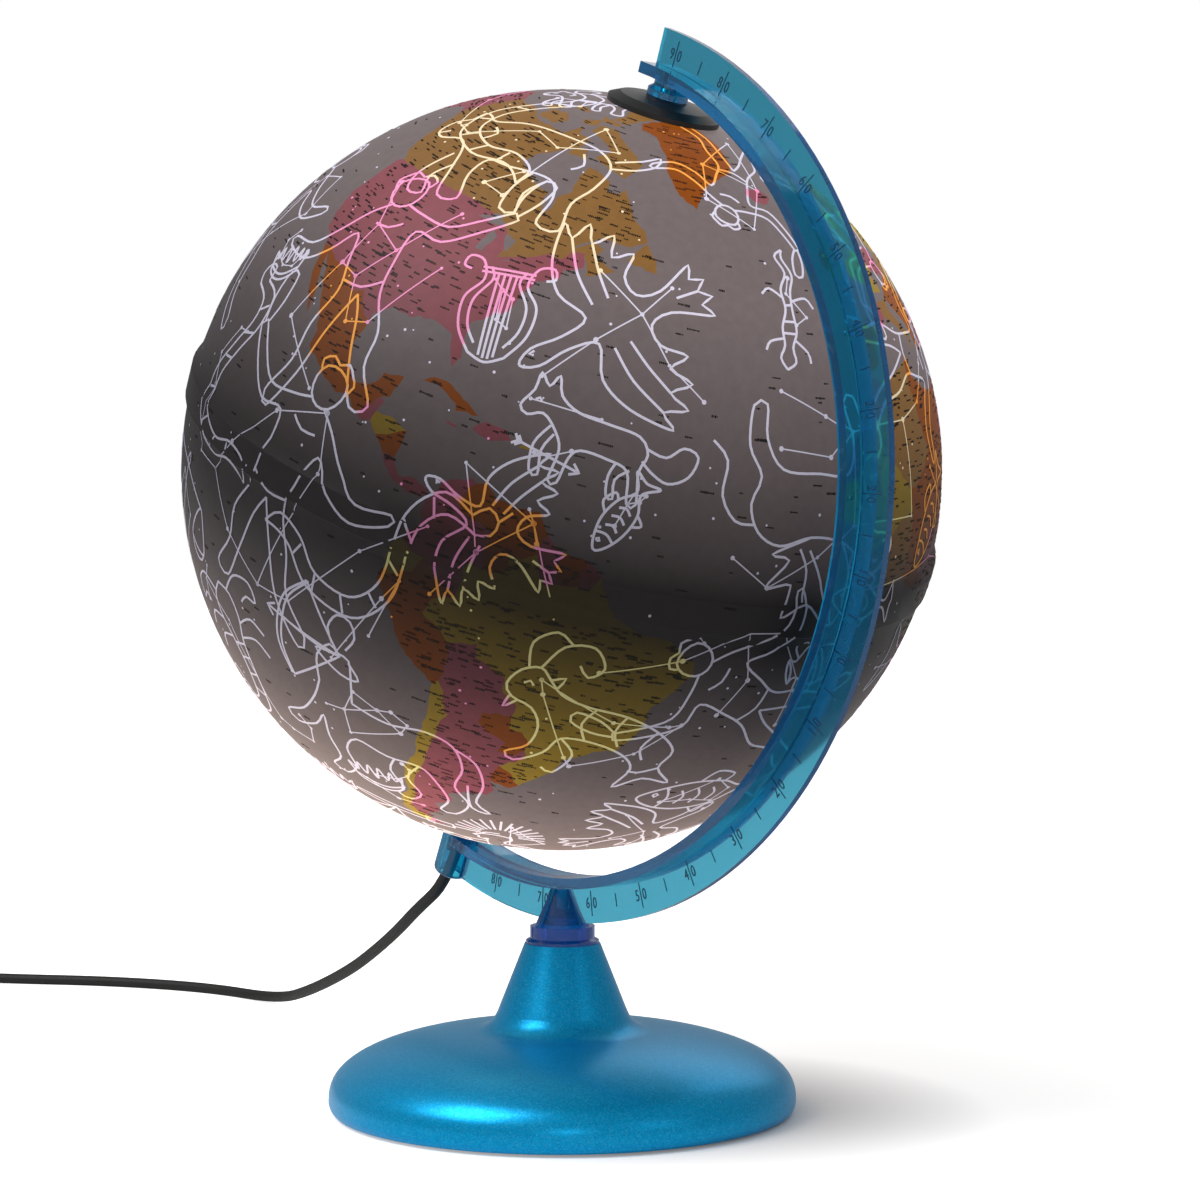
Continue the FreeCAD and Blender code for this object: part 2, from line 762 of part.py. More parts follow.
def cord_tube(name, route):
    """A round tube along straight runs joined by tangent arcs, as large as their runs allow."""
    edges = []
    start = route[0]
    radii = []
    for before, corner, after in zip(route, route[1:], route[2:]):
        inward = (corner - before).normalize()
        outward = (after - corner).normalize()
        half_turn = inward.getAngle(outward) / 2
        back = 0.45 * min((corner - before).Length, (after - corner).Length)
        radii.append(back / math.tan(half_turn))
        first = corner - inward * back
        last = corner + outward * back
        toward = (outward - inward).normalize()
        middle = corner + toward * (radii[-1] / math.cos(half_turn) - radii[-1])
        edges.append(Part.LineSegment(start, first).toShape())
        edges.append(Part.Arc(first, middle, last).toShape())
        start = last
    edges.append(Part.LineSegment(start, route[-1]).toShape())
    path = Part.Wire(edges)
    radius = worth("cord_diameter") / 2
    section = Part.Wire(Part.makeCircle(radius, route[0], route[1] - route[0]))
    shape = path.makePipeShell([section], True, True)
    ideal = math.pi * radius**2 * path.Length
    print(f"{name}: length {path.Length:.1f}, arc radii {[round(r, 1) for r in radii]}, "
          f"volume {shape.Volume / ideal:.4f} of section times length")
    return finish(feature(name, shape))


cord_tube("cord_free", FREE_ROUTE)
cord_tube("cord_lead", LEAD_ROUTE)
cord_tube("cord_tail", TAIL_ROUTE)

coil_at = floor_point(COIL_LEFT, COIL_BACK, 0)
coil_body = cut(
    "cord_coil",
    primitive("Cylinder", "coil_outside", Radius="coil_radius + 1.8 * cord_diameter", Height=str(coil_height)),
    primitive("Cylinder", "coil_inside", Radius="coil_radius - 1.8 * cord_diameter", Height=str(coil_height)),
)
coil_body.Placement = Placement(coil_at, Rotation())
finish(coil_body)


def laid(item, left, back, up=0.0, turn=0.0):
    """Lays a piece drawn along local X on the table, X pointing leftward."""
    heading = math.degrees(HEADING) + 180 + turn
    item.Placement = Placement(floor_point(left, back, up), Rotation(Vector(0, 0, 1), heading))
    return item


def softened(name, item, radius, pick):
    """Rounds the edges that pick chooses."""
    doc.recompute()
    rounded = doc.addObject("Part::Fillet", name)
    rounded.Base = item
    rounded.Edges = [(i + 1, radius, radius) for i, e in enumerate(item.Shape.Edges) if pick(e)]
    return rounded


def upright(edge):
    ends = [v.Point for v in edge.Vertexes]
    return len(ends) == 2 and abs(ends[0].x - ends[1].x) < 0.01 and abs(ends[0].y - ends[1].y) < 0.01


def at_height(height):
    return lambda edge: all(abs(v.Point.z - height) < 0.01 for v in edge.Vertexes)


SWITCH_SPLIT = 6.5


def switch_half(name, low, high, face, floor, lugs, holes):
    """One half of the switch's housing: a rounded box with a hollow and a groove at each end."""
    outer = primitive(
        "Box", f"{name}_box", at=("0", "0 - switch_width / 2", low), Length="switch_length",
        Width="switch_width", Height=f"{high} - {low}",
    )
    outer = softened(f"{name}_corners", outer, 6.0, upright)
    outer = softened(f"{name}_rim", outer, 1.6, at_height(worth(face)))
    hollow = primitive(
        "Box", f"{name}_hollow", at=("switch_wall + 4", "switch_wall + 1.2 - switch_width / 2", floor),
        Length="switch_length - 2 * switch_wall - 8", Width="switch_width - 2 * switch_wall - 2.4",
        Height=f"{high} - {low} - switch_wall",
    )
    groove = primitive(
        "Cylinder", f"{name}_groove", at=("0 - 1", "0", str(SWITCH_SPLIT)), turn=((0, 1, 0), 90),
        Radius="cord_diameter / 2 + cord_gap", Height="switch_length + 2",
    )
    shell = cut(f"{name}_shell", outer, joined(f"{name}_hollows", hollow, groove))
    if lugs:
        shell = joined(f"{name}_lugged", shell, *lugs)
    return cut(name, shell, joined(f"{name}_holes", *holes))


switch_at = (SWITCH_NEAR, SWITCH_BACK)
SCREW_PLACES = (("3.6", "6.5"), ("switch_length - 3.6", "0 - 6.5"))
ROCKER_MIDDLE = "switch_length / 2"
ROCKER_PIVOT = "(switch_height - 4)"


def switch_bores(name, radius, low, height):
    return [
        primitive("Cylinder", f"{name}_{i}", at=(x, y, low), Radius=radius, Height=height)
        for i, (x, y) in enumerate(SCREW_PLACES)
    ]


lower = switch_half(
    "switch_lower_housing", "0", str(SWITCH_SPLIT), "0", "switch_wall", [],
    switch_bores("switch_hole", "1.0", "0 - 1", "switch_height - 1"),
)
finish(laid(lower, *switch_at))
lugs = [
    primitive(
        "Box", f"rocker_lug_{i}", at=(f"{ROCKER_MIDDLE} - 2.5", y, f"{ROCKER_PIVOT} - 2"),
        Length="5", Width="1.2", Height="switch_height - switch_wall + 0.5 - " + f"{ROCKER_PIVOT} + 2",
    )
    for i, y in enumerate(("rocker_width / 2 + 0.5", "0 - rocker_width / 2 - 1.7"))
]
well = primitive(
    "Box", "rocker_well", at=(f"{ROCKER_MIDDLE} - rocker_length / 2 - 0.5", "0 - rocker_width / 2 - 0.5", "5"),
    Length="rocker_length + 1", Width="rocker_width + 1", Height="switch_height",
)
bearing = primitive(
    "Cylinder", "rocker_bearing", at=(ROCKER_MIDDLE, "rocker_width / 2 + 2", ROCKER_PIVOT),
    turn=((1, 0, 0), 90), Radius="1 + running_gap", Height="rocker_width + 4",
)
upper = switch_half(
    "switch_upper_housing", str(SWITCH_SPLIT), "switch_height", "switch_height", str(SWITCH_SPLIT), lugs,
    [well, bearing, *switch_bores("switch_pilot", "1.0", str(SWITCH_SPLIT - 0.5), "4.5")],
)
finish(laid(upper, *switch_at))
finish(laid(grouped("switch_screws", *switch_bores("switch_screw", "0.9", "0.6", "9")), *switch_at))
strips = [
    primitive("Box", f"strip_{i}", at=(x, "0 - 5", "switch_wall + 0.05"), Length="9", Width="10", Height="0.8")
    for i, x in enumerate(("switch_wall + 5", "switch_length - switch_wall - 14"))
]
finish(laid(grouped("switch_contacts", *strips), *switch_at))

# The rocker is a slice of a disc on two trunnions across the housing, tipped to its off side.
rocker_cake = primitive(
    "Cylinder", "rocker_cake", at=("0", "rocker_width / 2", "0"), turn=((1, 0, 0), 90),
    Radius="rocker_length / 2 - 0.3", Height="rocker_width",
)
trims = [
    primitive(
        "Box", f"rocker_trim_{i}", at=("0 - rocker_length", "0 - rocker_width", low),
        Length="2 * rocker_length", Width="2 * rocker_width", Height="20",
    )
    for i, low in enumerate(("5", "0 - 22.5"))
]
trunnions = primitive(
    "Cylinder", "rocker_trunnions", at=("0", "rocker_width / 2 + 1.6", "0"), turn=((1, 0, 0), 90),
    Radius="1", Height="rocker_width + 3.2",
)
rocker = joined("switch_rocker", cut("rocker_slice", rocker_cake, joined("rocker_trims", *trims)), trunnions)
ROCKER_TIP = 7.0
rocker_place = Placement(
    floor_point(SWITCH_NEAR + worth(ROCKER_MIDDLE), SWITCH_BACK, worth(ROCKER_PIVOT)),
    Rotation(Vector(0, 0, 1), math.degrees(HEADING) + 180),
)
rocker.Placement = rocker_place * Placement(Vector(), Rotation(Vector(0, 1, 0), ROCKER_TIP))
finish(rocker)
print("rocker axis at", rocker_place.Base, "along", rocker_place.Rotation.multVec(Vector(0, 1, 0)))

PLUG_MIDDLE = 6.9
plug_end = TAIL_ROUTE[-1]
plug_box = primitive(
    "Box", "plug_box", at=("0", "0 - plug_width / 2", "0"), Length="plug_length", Width="plug_width",
    Height="plug_height",
)
plug_box = softened("plug_corners", plug_box, 5.0, upright)
plug_box = softened(
    "plug_rims", plug_box, 3.0, lambda e: at_height(0.0)(e) or at_height(worth("plug_height"))(e)
)
plug_left = COIL_LEFT - 56
plug_back = COIL_BACK + coil_outer + 0.4
finish(laid(plug_box, plug_left, plug_back, turn=180), "plug_body")
plug_pins = [
    primitive(
        "Cylinder", f"plug_pin_{i}", at=("plug_length", y, str(PLUG_MIDDLE)), turn=((0, 1, 0), 90),
        Radius="plug_pin_radius", Height="plug_pin_length",
    )
    for i, y in enumerate(("0 - 9.2", "9.2"))
]
finish(laid(grouped("plug_pins", *plug_pins), plug_left, plug_back, turn=180))

# ---------------------------------------------------------------- check and write

doc.recompute()
faults = [o.Name for o in doc.Objects if {"Invalid", "Error"} & set(o.State)]
faults += [p.Label for p in PARTS if p.Shape.isNull() or not p.Shape.isValid() or not p.Shape.Solids]
if faults:
    raise SystemExit(f"these objects failed: {faults}")
os.makedirs("parts", exist_ok=True)
for part in PARTS:
    part.Shape.exportStep(f"parts/{part.Label}.step")
print(len(PARTS), "sub-parts written")
print("ball centre", worth(CENTRE), "spigot mouth", spigot_point(worth("ball_radius + spigot_drop")))
print("coil middle", coil_at, "cord wound in it", round(COIL_TURNS * math.tau * worth("coil_radius"), 0))
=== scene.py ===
"""The looks of a lit celestial globe on a blue meridian stand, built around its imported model."""
import json
import logging
import math
import random
from collections.abc import Callable
from dataclasses import dataclass, field
from enum import Enum

import bpy
from mathutils import Matrix, Vector
from mathutils.geometry import delaunay_2d_cdt

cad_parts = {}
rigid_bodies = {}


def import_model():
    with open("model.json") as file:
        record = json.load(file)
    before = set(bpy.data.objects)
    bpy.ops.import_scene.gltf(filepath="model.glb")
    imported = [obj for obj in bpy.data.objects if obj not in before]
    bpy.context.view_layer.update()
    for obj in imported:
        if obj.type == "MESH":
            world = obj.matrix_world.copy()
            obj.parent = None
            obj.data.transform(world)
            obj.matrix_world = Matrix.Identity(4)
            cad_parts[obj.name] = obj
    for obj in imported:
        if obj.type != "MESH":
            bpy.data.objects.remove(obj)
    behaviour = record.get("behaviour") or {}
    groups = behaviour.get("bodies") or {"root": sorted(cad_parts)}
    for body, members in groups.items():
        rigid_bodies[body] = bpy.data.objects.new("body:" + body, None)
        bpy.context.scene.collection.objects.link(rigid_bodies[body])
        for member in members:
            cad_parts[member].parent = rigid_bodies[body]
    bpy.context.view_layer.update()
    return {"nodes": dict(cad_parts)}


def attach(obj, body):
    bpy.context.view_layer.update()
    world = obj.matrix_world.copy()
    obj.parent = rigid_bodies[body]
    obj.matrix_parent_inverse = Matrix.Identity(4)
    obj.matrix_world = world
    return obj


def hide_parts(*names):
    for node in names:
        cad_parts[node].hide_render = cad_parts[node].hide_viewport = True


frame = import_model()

LOG = logging.getLogger("celestial_globe")
MM = 0.001

# The ball turns about an axis leaned 23.5 degrees, through a centre above the foot.
TILT = math.radians(23.5)
CENTRE = Vector((0.0, 0.0, 0.2121))
AXIS = Vector((math.sin(TILT), 0.0, math.cos(TILT)))
OUTWARD = Vector((math.cos(TILT), 0.0, -math.sin(TILT)))
ACROSS = Vector((0.0, 1.0, 0.0))
BALL_RADIUS = 125.0 * MM
# The way the stand is turned: the cord runs off to the left of this heading.
HEADING = math.radians(48.9)
LEFTWARD = Vector((-math.cos(HEADING), -math.sin(HEADING), 0.0))
BACKWARD = Vector((-math.sin(HEADING), math.cos(HEADING), 0.0))


def to_linear(hex_colour: str) -> tuple[float, float, float, float]:
    """Turns an sRGB hex colour into the linear colour that a shader takes.

    Args:
        hex_colour: Six hex digits after a hash.

    Returns:
        Red, green, blue and an alpha of one.
    """
    parts = [int(hex_colour[i:i + 2], 16) / 255 for i in (1, 3, 5)]
    red, green, blue = (
        c / 12.92 if c <= 0.04045 else ((c + 0.055) / 1.055) ** 2.4 for c in parts
    )
    return red, green, blue, 1.0


def add_node(
    tree: bpy.types.NodeTree, kind: str, inputs: dict | None = None, **settings: object
) -> bpy.types.Node:
    """Adds one shader node, sets it and links it.

    Args:
        tree: The material's or the world's node tree.
        kind: The node's type name.
        inputs: Input socket to a value, or to the output socket that feeds it.
        settings: The node's own properties.

    Returns:
        The new node.
    """
    made = tree.nodes.new(kind)
    for name, value in settings.items():
        setattr(made, name, value)
    for socket, value in (inputs or {}).items():
        if isinstance(value, bpy.types.NodeSocket):
            tree.links.new(value, made.inputs[socket])
        else:
            made.inputs[socket].default_value = value
    return made


def empty_material(name: str) -> tuple[bpy.types.Material, bpy.types.NodeTree]:
    """Makes a material with nothing in it.

    Args:
        name: The real material's name.

    Returns:
        The material and its node tree.
    """
    material = bpy.data.materials.new(name)
    material.use_nodes = True
    material.node_tree.nodes.clear()
    return material, material.node_tree


def dress(piece: bpy.types.Object, material: bpy.types.Material) -> None:
    """Puts one material all over a piece."""
    piece.data.materials.clear()
    piece.data.materials.append(material)


def only(piece: bpy.types.Object) -> None:
    """Makes a piece the only one selected, and the active one.

    Args:
        piece: The object to work on next.
    """
    bpy.ops.object.select_all(action="DESELECT")
    piece.select_set(True)
    bpy.context.view_layer.objects.active = piece


def smooth(piece: bpy.types.Object, degrees: float = 30.0) -> None:
    """Shades a piece smooth, with edges sharper than an angle left crisp."""
    only(piece)
    bpy.ops.object.shade_smooth_by_angle(angle=math.radians(degrees))


def settle(piece: bpy.types.Object) -> None:
    """Applies a piece's place to its mesh, so that its object sits at the origin."""
    only(piece)
    bpy.ops.object.transform_apply(location=True, rotation=True, scale=True)


def face_out(piece: bpy.types.Object, weld: float = 0.0) -> None:
    """Turns a piece's faces outwards, after its doubles are merged.

    Args:
        piece: The mesh object.
        weld: Points nearer than this become one; at zero none do.
    """
    only(piece)
    bpy.ops.object.mode_set(mode="EDIT")
    bpy.ops.mesh.select_all(action="SELECT")
    if weld:
        bpy.ops.mesh.remove_doubles(threshold=weld)
    bpy.ops.mesh.normals_make_consistent(inside=False)
    bpy.ops.object.mode_set(mode="OBJECT")


def from_faces(name: str, verts: list, faces: list) -> bpy.types.Object:
    """Makes a mesh object from points and faces.

    Args:
        name: The piece's name.
        verts: Points in the row frame.
        faces: Corner indices of each face.

    Returns:
        The new object, linked to the scene.
    """
    mesh = bpy.data.meshes.new(name)
    mesh.from_pydata(verts, [], faces)
    mesh.update()
    piece = bpy.data.objects.new(name, mesh)
    bpy.context.scene.collection.objects.link(piece)
    return piece


def joined(name: str, parts: list) -> bpy.types.Object:
    """Joins several pieces of one kind into a single piece.

    Args:
        name: The joined piece's name.
        parts: The objects, which become one.

    Returns:
        The joined object.
    """
    bpy.ops.object.select_all(action="DESELECT")
    for part in parts:
        part.select_set(True)
    bpy.context.view_layer.objects.active = parts[0]
    bpy.ops.object.join()
    parts[0].name = parts[0].data.name = name
    return parts[0]


# ---------------------------------------------------------------- finishes


@dataclass(frozen=True)
class MouldedPlastic:
    """Injection-moulded plastic: an even colour, a faint spark-eroded grain and a soft gloss."""

    name: str
    colour: str
    roughness: float
    grain_mm: float = 0.6
    grain: float = 0.08

    def make(self) -> bpy.types.Material:
        """Builds the material.

        Returns:
            The new material.
        """
        material, tree = empty_material(self.name)
        place = add_node(tree, "ShaderNodeTexCoord").outputs["Object"]
        grain = add_node(
            tree, "ShaderNodeTexNoise",
            {"Vector": place, "Scale": 1 / (self.grain_mm * MM), "Detail": 3.0},
        ).outputs["Fac"]
        cloud = add_node(
            tree, "ShaderNodeTexNoise", {"Vector": place, "Scale": 45.0, "Detail": 2.0},
        ).outputs["Fac"]
        base = to_linear(self.colour)
        tone = add_node(
            tree, "ShaderNodeMix",
            {
                "Factor": cloud,
                "A": tuple(0.9 * c for c in base[:3]) + (1.0,),
                "B": tuple(min(1.0, 1.1 * c) for c in base[:3]) + (1.0,),
            },
            data_type="RGBA",
        )
        rough = add_node(
            tree, "ShaderNodeMapRange",
            {"Value": grain, "To Min": self.roughness * 0.85, "To Max": self.roughness * 1.2},
        )
        bump = add_node(
            tree, "ShaderNodeBump",
            {"Height": grain, "Strength": self.grain, "Distance": 0.05 * MM},
        )
        surface = add_node(
            tree, "ShaderNodeBsdfPrincipled",
            {
                "Base Color": tone.outputs["Result"], "Roughness": rough.outputs["Result"],
                "Normal": bump.outputs["Normal"],
            },
        )
        add_node(tree, "ShaderNodeOutputMaterial", {"Surface": surface.outputs["BSDF"]})
        return material


@dataclass(frozen=True)
class PearlPlastic:
    """Pearl-pigmented blue polystyrene: mica flakes glint in it and soften its highlights."""

    name: str = "pearl_blue_polystyrene"
    deep: str = "#007db4"
    body: str = "#00a6e0"
    flake: str = "#4cc0ea"
    # Real flakes are 0.1 mm; they are drawn coarser so that they show.
    flake_mm: float = 0.38

    def make(self) -> bpy.types.Material:
        """Builds the material.

        Returns:
            The new material.
        """
        material, tree = empty_material(self.name)
        place = add_node(tree, "ShaderNodeTexCoord").outputs["Object"]
        flakes = add_node(
            tree, "ShaderNodeTexVoronoi",
            {"Vector": place, "Scale": 1 / (self.flake_mm * MM), "Randomness": 1.0},
        )
        glint = add_node(
            tree, "ShaderNodeSeparateColor", {"Color": flakes.outputs["Color"]},
        )
        bright = add_node(
            tree, "ShaderNodeMapRange",
            {"Value": glint.outputs["Red"], "From Min": 0.72, "From Max": 1.0,
             "To Min": 0.0, "To Max": 0.35},
        )
        dark = add_node(
            tree, "ShaderNodeMapRange",
            {"Value": glint.outputs["Green"], "From Min": 0.0, "From Max": 1.0,
             "To Min": 0.0, "To Max": 0.55},
        )
        ground = add_node(
            tree, "ShaderNodeMix",
            {"Factor": dark.outputs["Result"], "A": to_linear(self.body),
             "B": to_linear(self.deep)},
            data_type="RGBA",
        )
        tone = add_node(
            tree, "ShaderNodeMix",
            {"Factor": bright.outputs["Result"], "A": ground.outputs["Result"],
             "B": to_linear(self.flake)},
            data_type="RGBA",
        )
        bump = add_node(
            tree, "ShaderNodeBump",
            {"Height": glint.outputs["Blue"], "Strength": 0.22, "Distance": 0.06 * MM},
        )
        surface = add_node(
            tree, "ShaderNodeBsdfPrincipled",
            {
                "Base Color": tone.outputs["Result"], "Metallic": 0.6, "Roughness": 0.32,
                "Specular IOR Level": 0.2, "Normal": bump.outputs["Normal"],
            },
        )
        add_node(tree, "ShaderNodeOutputMaterial", {"Surface": surface.outputs["BSDF"]})
        return material


@dataclass(frozen=True)
class ClearPlastic:
    """Tinted clear plastic: thin walls pass pale light and long paths through it go deep blue."""

    name: str
    colour: str
    depth: str
    density: float
    transmission: float
    roughness: float = 0.07
    rim: str = "#02548c"
    # Painted glow: light caught inside the moulding that comes out again, put in as a faint emitted colour
    # of its own.
    glow: str = "#000000"
    lit: float = 0.0

    def make(self) -> bpy.types.Material:
        """Builds the material.

        Returns:
            The new material.
        """
        material, tree = empty_material(self.name)
        place = add_node(tree, "ShaderNodeTexCoord").outputs["Object"]
        flow = add_node(
            tree, "ShaderNodeTexNoise", {"Vector": place, "Scale": 60.0, "Detail": 2.0},
        ).outputs["Fac"]
        rough = add_node(
            tree, "ShaderNodeMapRange",
            {"Value": flow, "To Min": self.roughness * 0.8, "To Max": self.roughness * 1.25},
        )
        bump = add_node(
            tree, "ShaderNodeBump", {"Height": flow, "Strength": 0.05, "Distance": 0.2 * MM},
        )
        # Rims and faces seen nearly edge on hold the light in and look deep.
        edge_on = add_node(tree, "ShaderNodeLayerWeight", {"Blend": 0.45})
        tone = add_node(
            tree, "ShaderNodeMix",
            {"Factor": edge_on.outputs["Facing"], "A": to_linear(self.colour),
             "B": to_linear(self.rim)},
            data_type="RGBA",
        )
        surface = add_node(
            tree, "ShaderNodeBsdfPrincipled",
            {
                "Base Color": tone.outputs["Result"], "Roughness": rough.outputs["Result"],
                "IOR": 1.5, "Transmission Weight": self.transmission,
                "Specular IOR Level": 0.16, "Normal": bump.outputs["Normal"],
                "Emission Color": to_linear(self.glow), "Emission Strength": self.lit,
            },
        )
        inside = add_node(
            tree, "ShaderNodeVolumeAbsorption",
            {"Color": to_linear(self.depth), "Density": self.density},
        )
        add_node(
            tree, "ShaderNodeOutputMaterial",
            {"Surface": surface.outputs["BSDF"], "Volume": inside.outputs["Volume"]},
        )
        return material


@dataclass(frozen=True)
class Metal:
    """Turned, plated or cast metal: a bright or dull sheen with fine working marks."""

    name: str
    colour: str
    roughness: float
    mark_mm: float = 0.8

    def make(self) -> bpy.types.Material:
        """Builds the material.

        Returns:
            The new material.
        """
        material, tree = empty_material(self.name)
        place = add_node(tree, "ShaderNodeTexCoord").outputs["Object"]
        marks = add_node(
            tree, "ShaderNodeTexNoise",
            {"Vector": place, "Scale": 1 / (self.mark_mm * MM), "Detail": 4.0},
        ).outputs["Fac"]
        rough = add_node(
            tree, "ShaderNodeMapRange",
            {"Value": marks, "To Min": self.roughness * 0.7, "To Max": self.roughness * 1.4},
        )
        bump = add_node(
            tree, "ShaderNodeBump", {"Height": marks, "Strength": 0.1, "Distance": 0.04 * MM},
        )
        surface = add_node(
            tree, "ShaderNodeBsdfPrincipled",
            {
                "Base Color": to_linear(self.colour), "Metallic": 1.0,
                "Roughness": rough.outputs["Result"], "Normal": bump.outputs["Normal"],
            },
        )
        add_node(tree, "ShaderNodeOutputMaterial", {"Surface": surface.outputs["BSDF"]})
        return material


@dataclass(frozen=True)
class PrintedFilm:
    """Ink on translucent polystyrene: a dull print that the lamp inside lights from behind.

    The lamp stands near the south pole and a joining ring shades the equator, so the
    glow follows the height along the ball's axis.
    """

    name: str
    reflect: float
    glow: float
    roughness: float = 0.5
    mottle_mm: float = 3.0

    def make(self) -> bpy.types.Material:
        """Builds the material, whose colour is the mesh's own 'tint' attribute.

        Returns:
            The new material.
        """
        material, tree = empty_material(self.name)
        place = add_node(tree, "ShaderNodeTexCoord").outputs["Object"]
        tint = add_node(tree, "ShaderNodeAttribute", attribute_name="tint").outputs["Color"]
        mottle = add_node(
            tree, "ShaderNodeTexNoise",
            {"Vector": place, "Scale": 1 / (self.mottle_mm * MM), "Detail": 4.0},
        ).outputs["Fac"]
        even = add_node(
            tree, "ShaderNodeMapRange", {"Value": mottle, "To Min": 0.86, "To Max": 1.12},
        )
        printed = add_node(
            tree, "ShaderNodeVectorMath",
            {0: tint, "Scale": even.outputs["Result"]}, operation="SCALE",
        ).outputs["Vector"]
        from_centre = add_node(
            tree, "ShaderNodeVectorMath", {0: place, 1: CENTRE}, operation="SUBTRACT",
        )
        height = add_node(
            tree, "ShaderNodeVectorMath",
            {0: from_centre.outputs["Vector"], 1: AXIS}, operation="DOT_PRODUCT",
        )
        along = add_node(
            tree, "ShaderNodeMapRange",
            {"Value": height.outputs["Value"], "From Min": -BALL_RADIUS,
             "From Max": BALL_RADIUS},
        )
        lamp = add_node(tree, "ShaderNodeValToRGB", {"Fac": along.outputs["Result"]})
        stops = lamp.color_ramp.elements
        while len(stops) > 1:
            stops.remove(stops[-1])
        for i, (sine, level, warmth) in enumerate(LAMP_GLOW):
            stop = stops[0] if i == 0 else stops.new((sine + 1) / 2)
            stop.position = (sine + 1) / 2
            stop.color = (level, level * (1 - 0.45 * warmth), level * (1 - warmth), 1.0)
        lit = add_node(
            tree, "ShaderNodeVectorMath",
            {0: printed, 1: lamp.outputs["Color"]}, operation="MULTIPLY",
        )
        behind = add_node(
            tree, "ShaderNodeVectorMath",
            {0: lit.outputs["Vector"], "Scale": GLOW_SCALE * self.glow}, operation="SCALE",
        )
        front = add_node(
            tree, "ShaderNodeVectorMath", {0: printed, "Scale": self.reflect},
            operation="SCALE",
        )
        surface = add_node(
            tree, "ShaderNodeBsdfPrincipled",
            {
                "Base Color": front.outputs["Vector"], "Roughness": self.roughness,
                "Specular IOR Level": 0.16, "IOR": 1.5,
                "Emission Color": behind.outputs["Vector"], "Emission Strength": 1.0,
            },
        )
        add_node(tree, "ShaderNodeOutputMaterial", {"Surface": surface.outputs["BSDF"]})
        return material


# Height along the axis as a share of the radius, the lamp's level there (as a share of
# GLOW_SCALE) and how warm it is.
GLOW_SCALE = 3.0
LAMP_GLOW = (
    (-1.0, 1.0, 0.36), (-0.92, 0.94, 0.35), (-0.8, 0.72, 0.3), (-0.62, 0.43, 0.24),
    (-0.45, 0.22, 0.15), (-0.28, 0.09, 0.07), (-0.15, 0.035, 0.0), (-0.05, 0.0, 0.0),
    (0.06, 0.0, 0.0), (0.13, 0.04, 0.0), (0.3, 0.13, 0.03), (0.5, 0.26, 0.05),
    (0.7, 0.4, 0.06), (1.0, 0.44, 0.07),
)

# The pole cap, the base's cover and the rocker: near black with a broad soft sheen.
BLACK_ABS = MouldedPlastic("black_abs", "#080807", 0.42)
# The bushes and the joining ring: a waxy off-white.
NYLON = MouldedPlastic("natural_nylon", "#c9c4b4", 0.5)
# The lampholder and the cord grip: a hard brown-black gloss.
HOLDER_PLASTIC = MouldedPlastic("black_phenolic", "#1b1714", 0.35)
# The pads: a dead matt that drinks the light.
FOOT_RUBBER = MouldedPlastic("foot_rubber", "#23211f", 0.85, 0.9, 0.2)
# The switch's case: black with a fine spark-eroded grain.
SWITCH_PLASTIC = MouldedPlastic("switch_polycarbonate", "#161513", 0.42, 0.7, 0.14)
# The plug and its relief: softer and duller than the switch.
PLUG_PVC = MouldedPlastic("plug_pvc", "#191816", 0.5, 0.8, 0.16)
# The cord's jacket: a dull black with a faint line of light along it.
CORD_PVC = MouldedPlastic("cord_pvc", "#100f0e", 0.6, 1.2, 0.12)
# The raised scale: a deep blue that reads through and against the clear web.
SCALE_INK = MouldedPlastic("moulded_blue_scale", "#083c5e", 0.4)
# The arm and spool: pale cyan where thin, deep blue along its flanges, with a faint painted glow.
CLEAR_BLUE = ClearPlastic(
    "clear_blue_polystyrene", "#78f0f8", "#00d9e9", 400.0, 0.96, glow="#034a80", lit=0.16
)
# The collar: the same plastic, thicker, so that it is nearly navy, with a stronger painted glow.
COLLAR_BLUE = ClearPlastic(
    "deep_blue_polystyrene", "#0078c4", "#00a0e0", 250.0, 0.9, 0.1, "#02386e",
    "#053c78", 0.35
)
# Screws, washer, pivot pin and filament: a bright turned sheen.
STEEL = Metal("bright_steel", "#b9b7b2", 0.3)
# The weight: dark, rough and dull, as it left the sand.
IRON = Metal("cast_iron", "#4a4744", 0.62, 1.6)
# Contacts and the plug's pins: a warm yellow gleam.
BRASS = Metal("plated_brass", "#c8a868", 0.28)
# The bulb: all but clear and a breath warm, with its edges as blue as the clear plastic's.
LAMP_GLASS = ClearPlastic("lamp_glass", "#fbf6ea", "#fff6e0", 1.0, 0.95, 0.03)


# ------------------------------------------------------------ printed map


class Ink(Enum):
    """The print's colours, as each one looks with the lamp well behind it."""

    SEA = "#6a6062"
    OLIVE = "#8a7224"
    GOLD = "#7c5a30"
    PINK = "#80464f"
    ORANGE = "#7e400a"
    ICE = "#a5968a"
    WHITE = "#dcd8ec"
    ON_OLIVE = "#ece2a0"
    ON_GOLD = "#f3e3c0"
    ON_PINK = "#f7a0cf"
    ON_ORANGE = "#ffae52"
    DARK = "#15110f"


INK_COLOURS = {ink: to_linear(ink.value) for ink in Ink}
# The colour that a light line takes where it crosses each ground.
LINE_ON = {
    Ink.SEA: Ink.WHITE, Ink.ICE: Ink.WHITE, Ink.OLIVE: Ink.ON_OLIVE, Ink.GOLD: Ink.ON_GOLD,
    Ink.PINK: Ink.ON_PINK, Ink.ORANGE: Ink.ON_ORANGE,
}

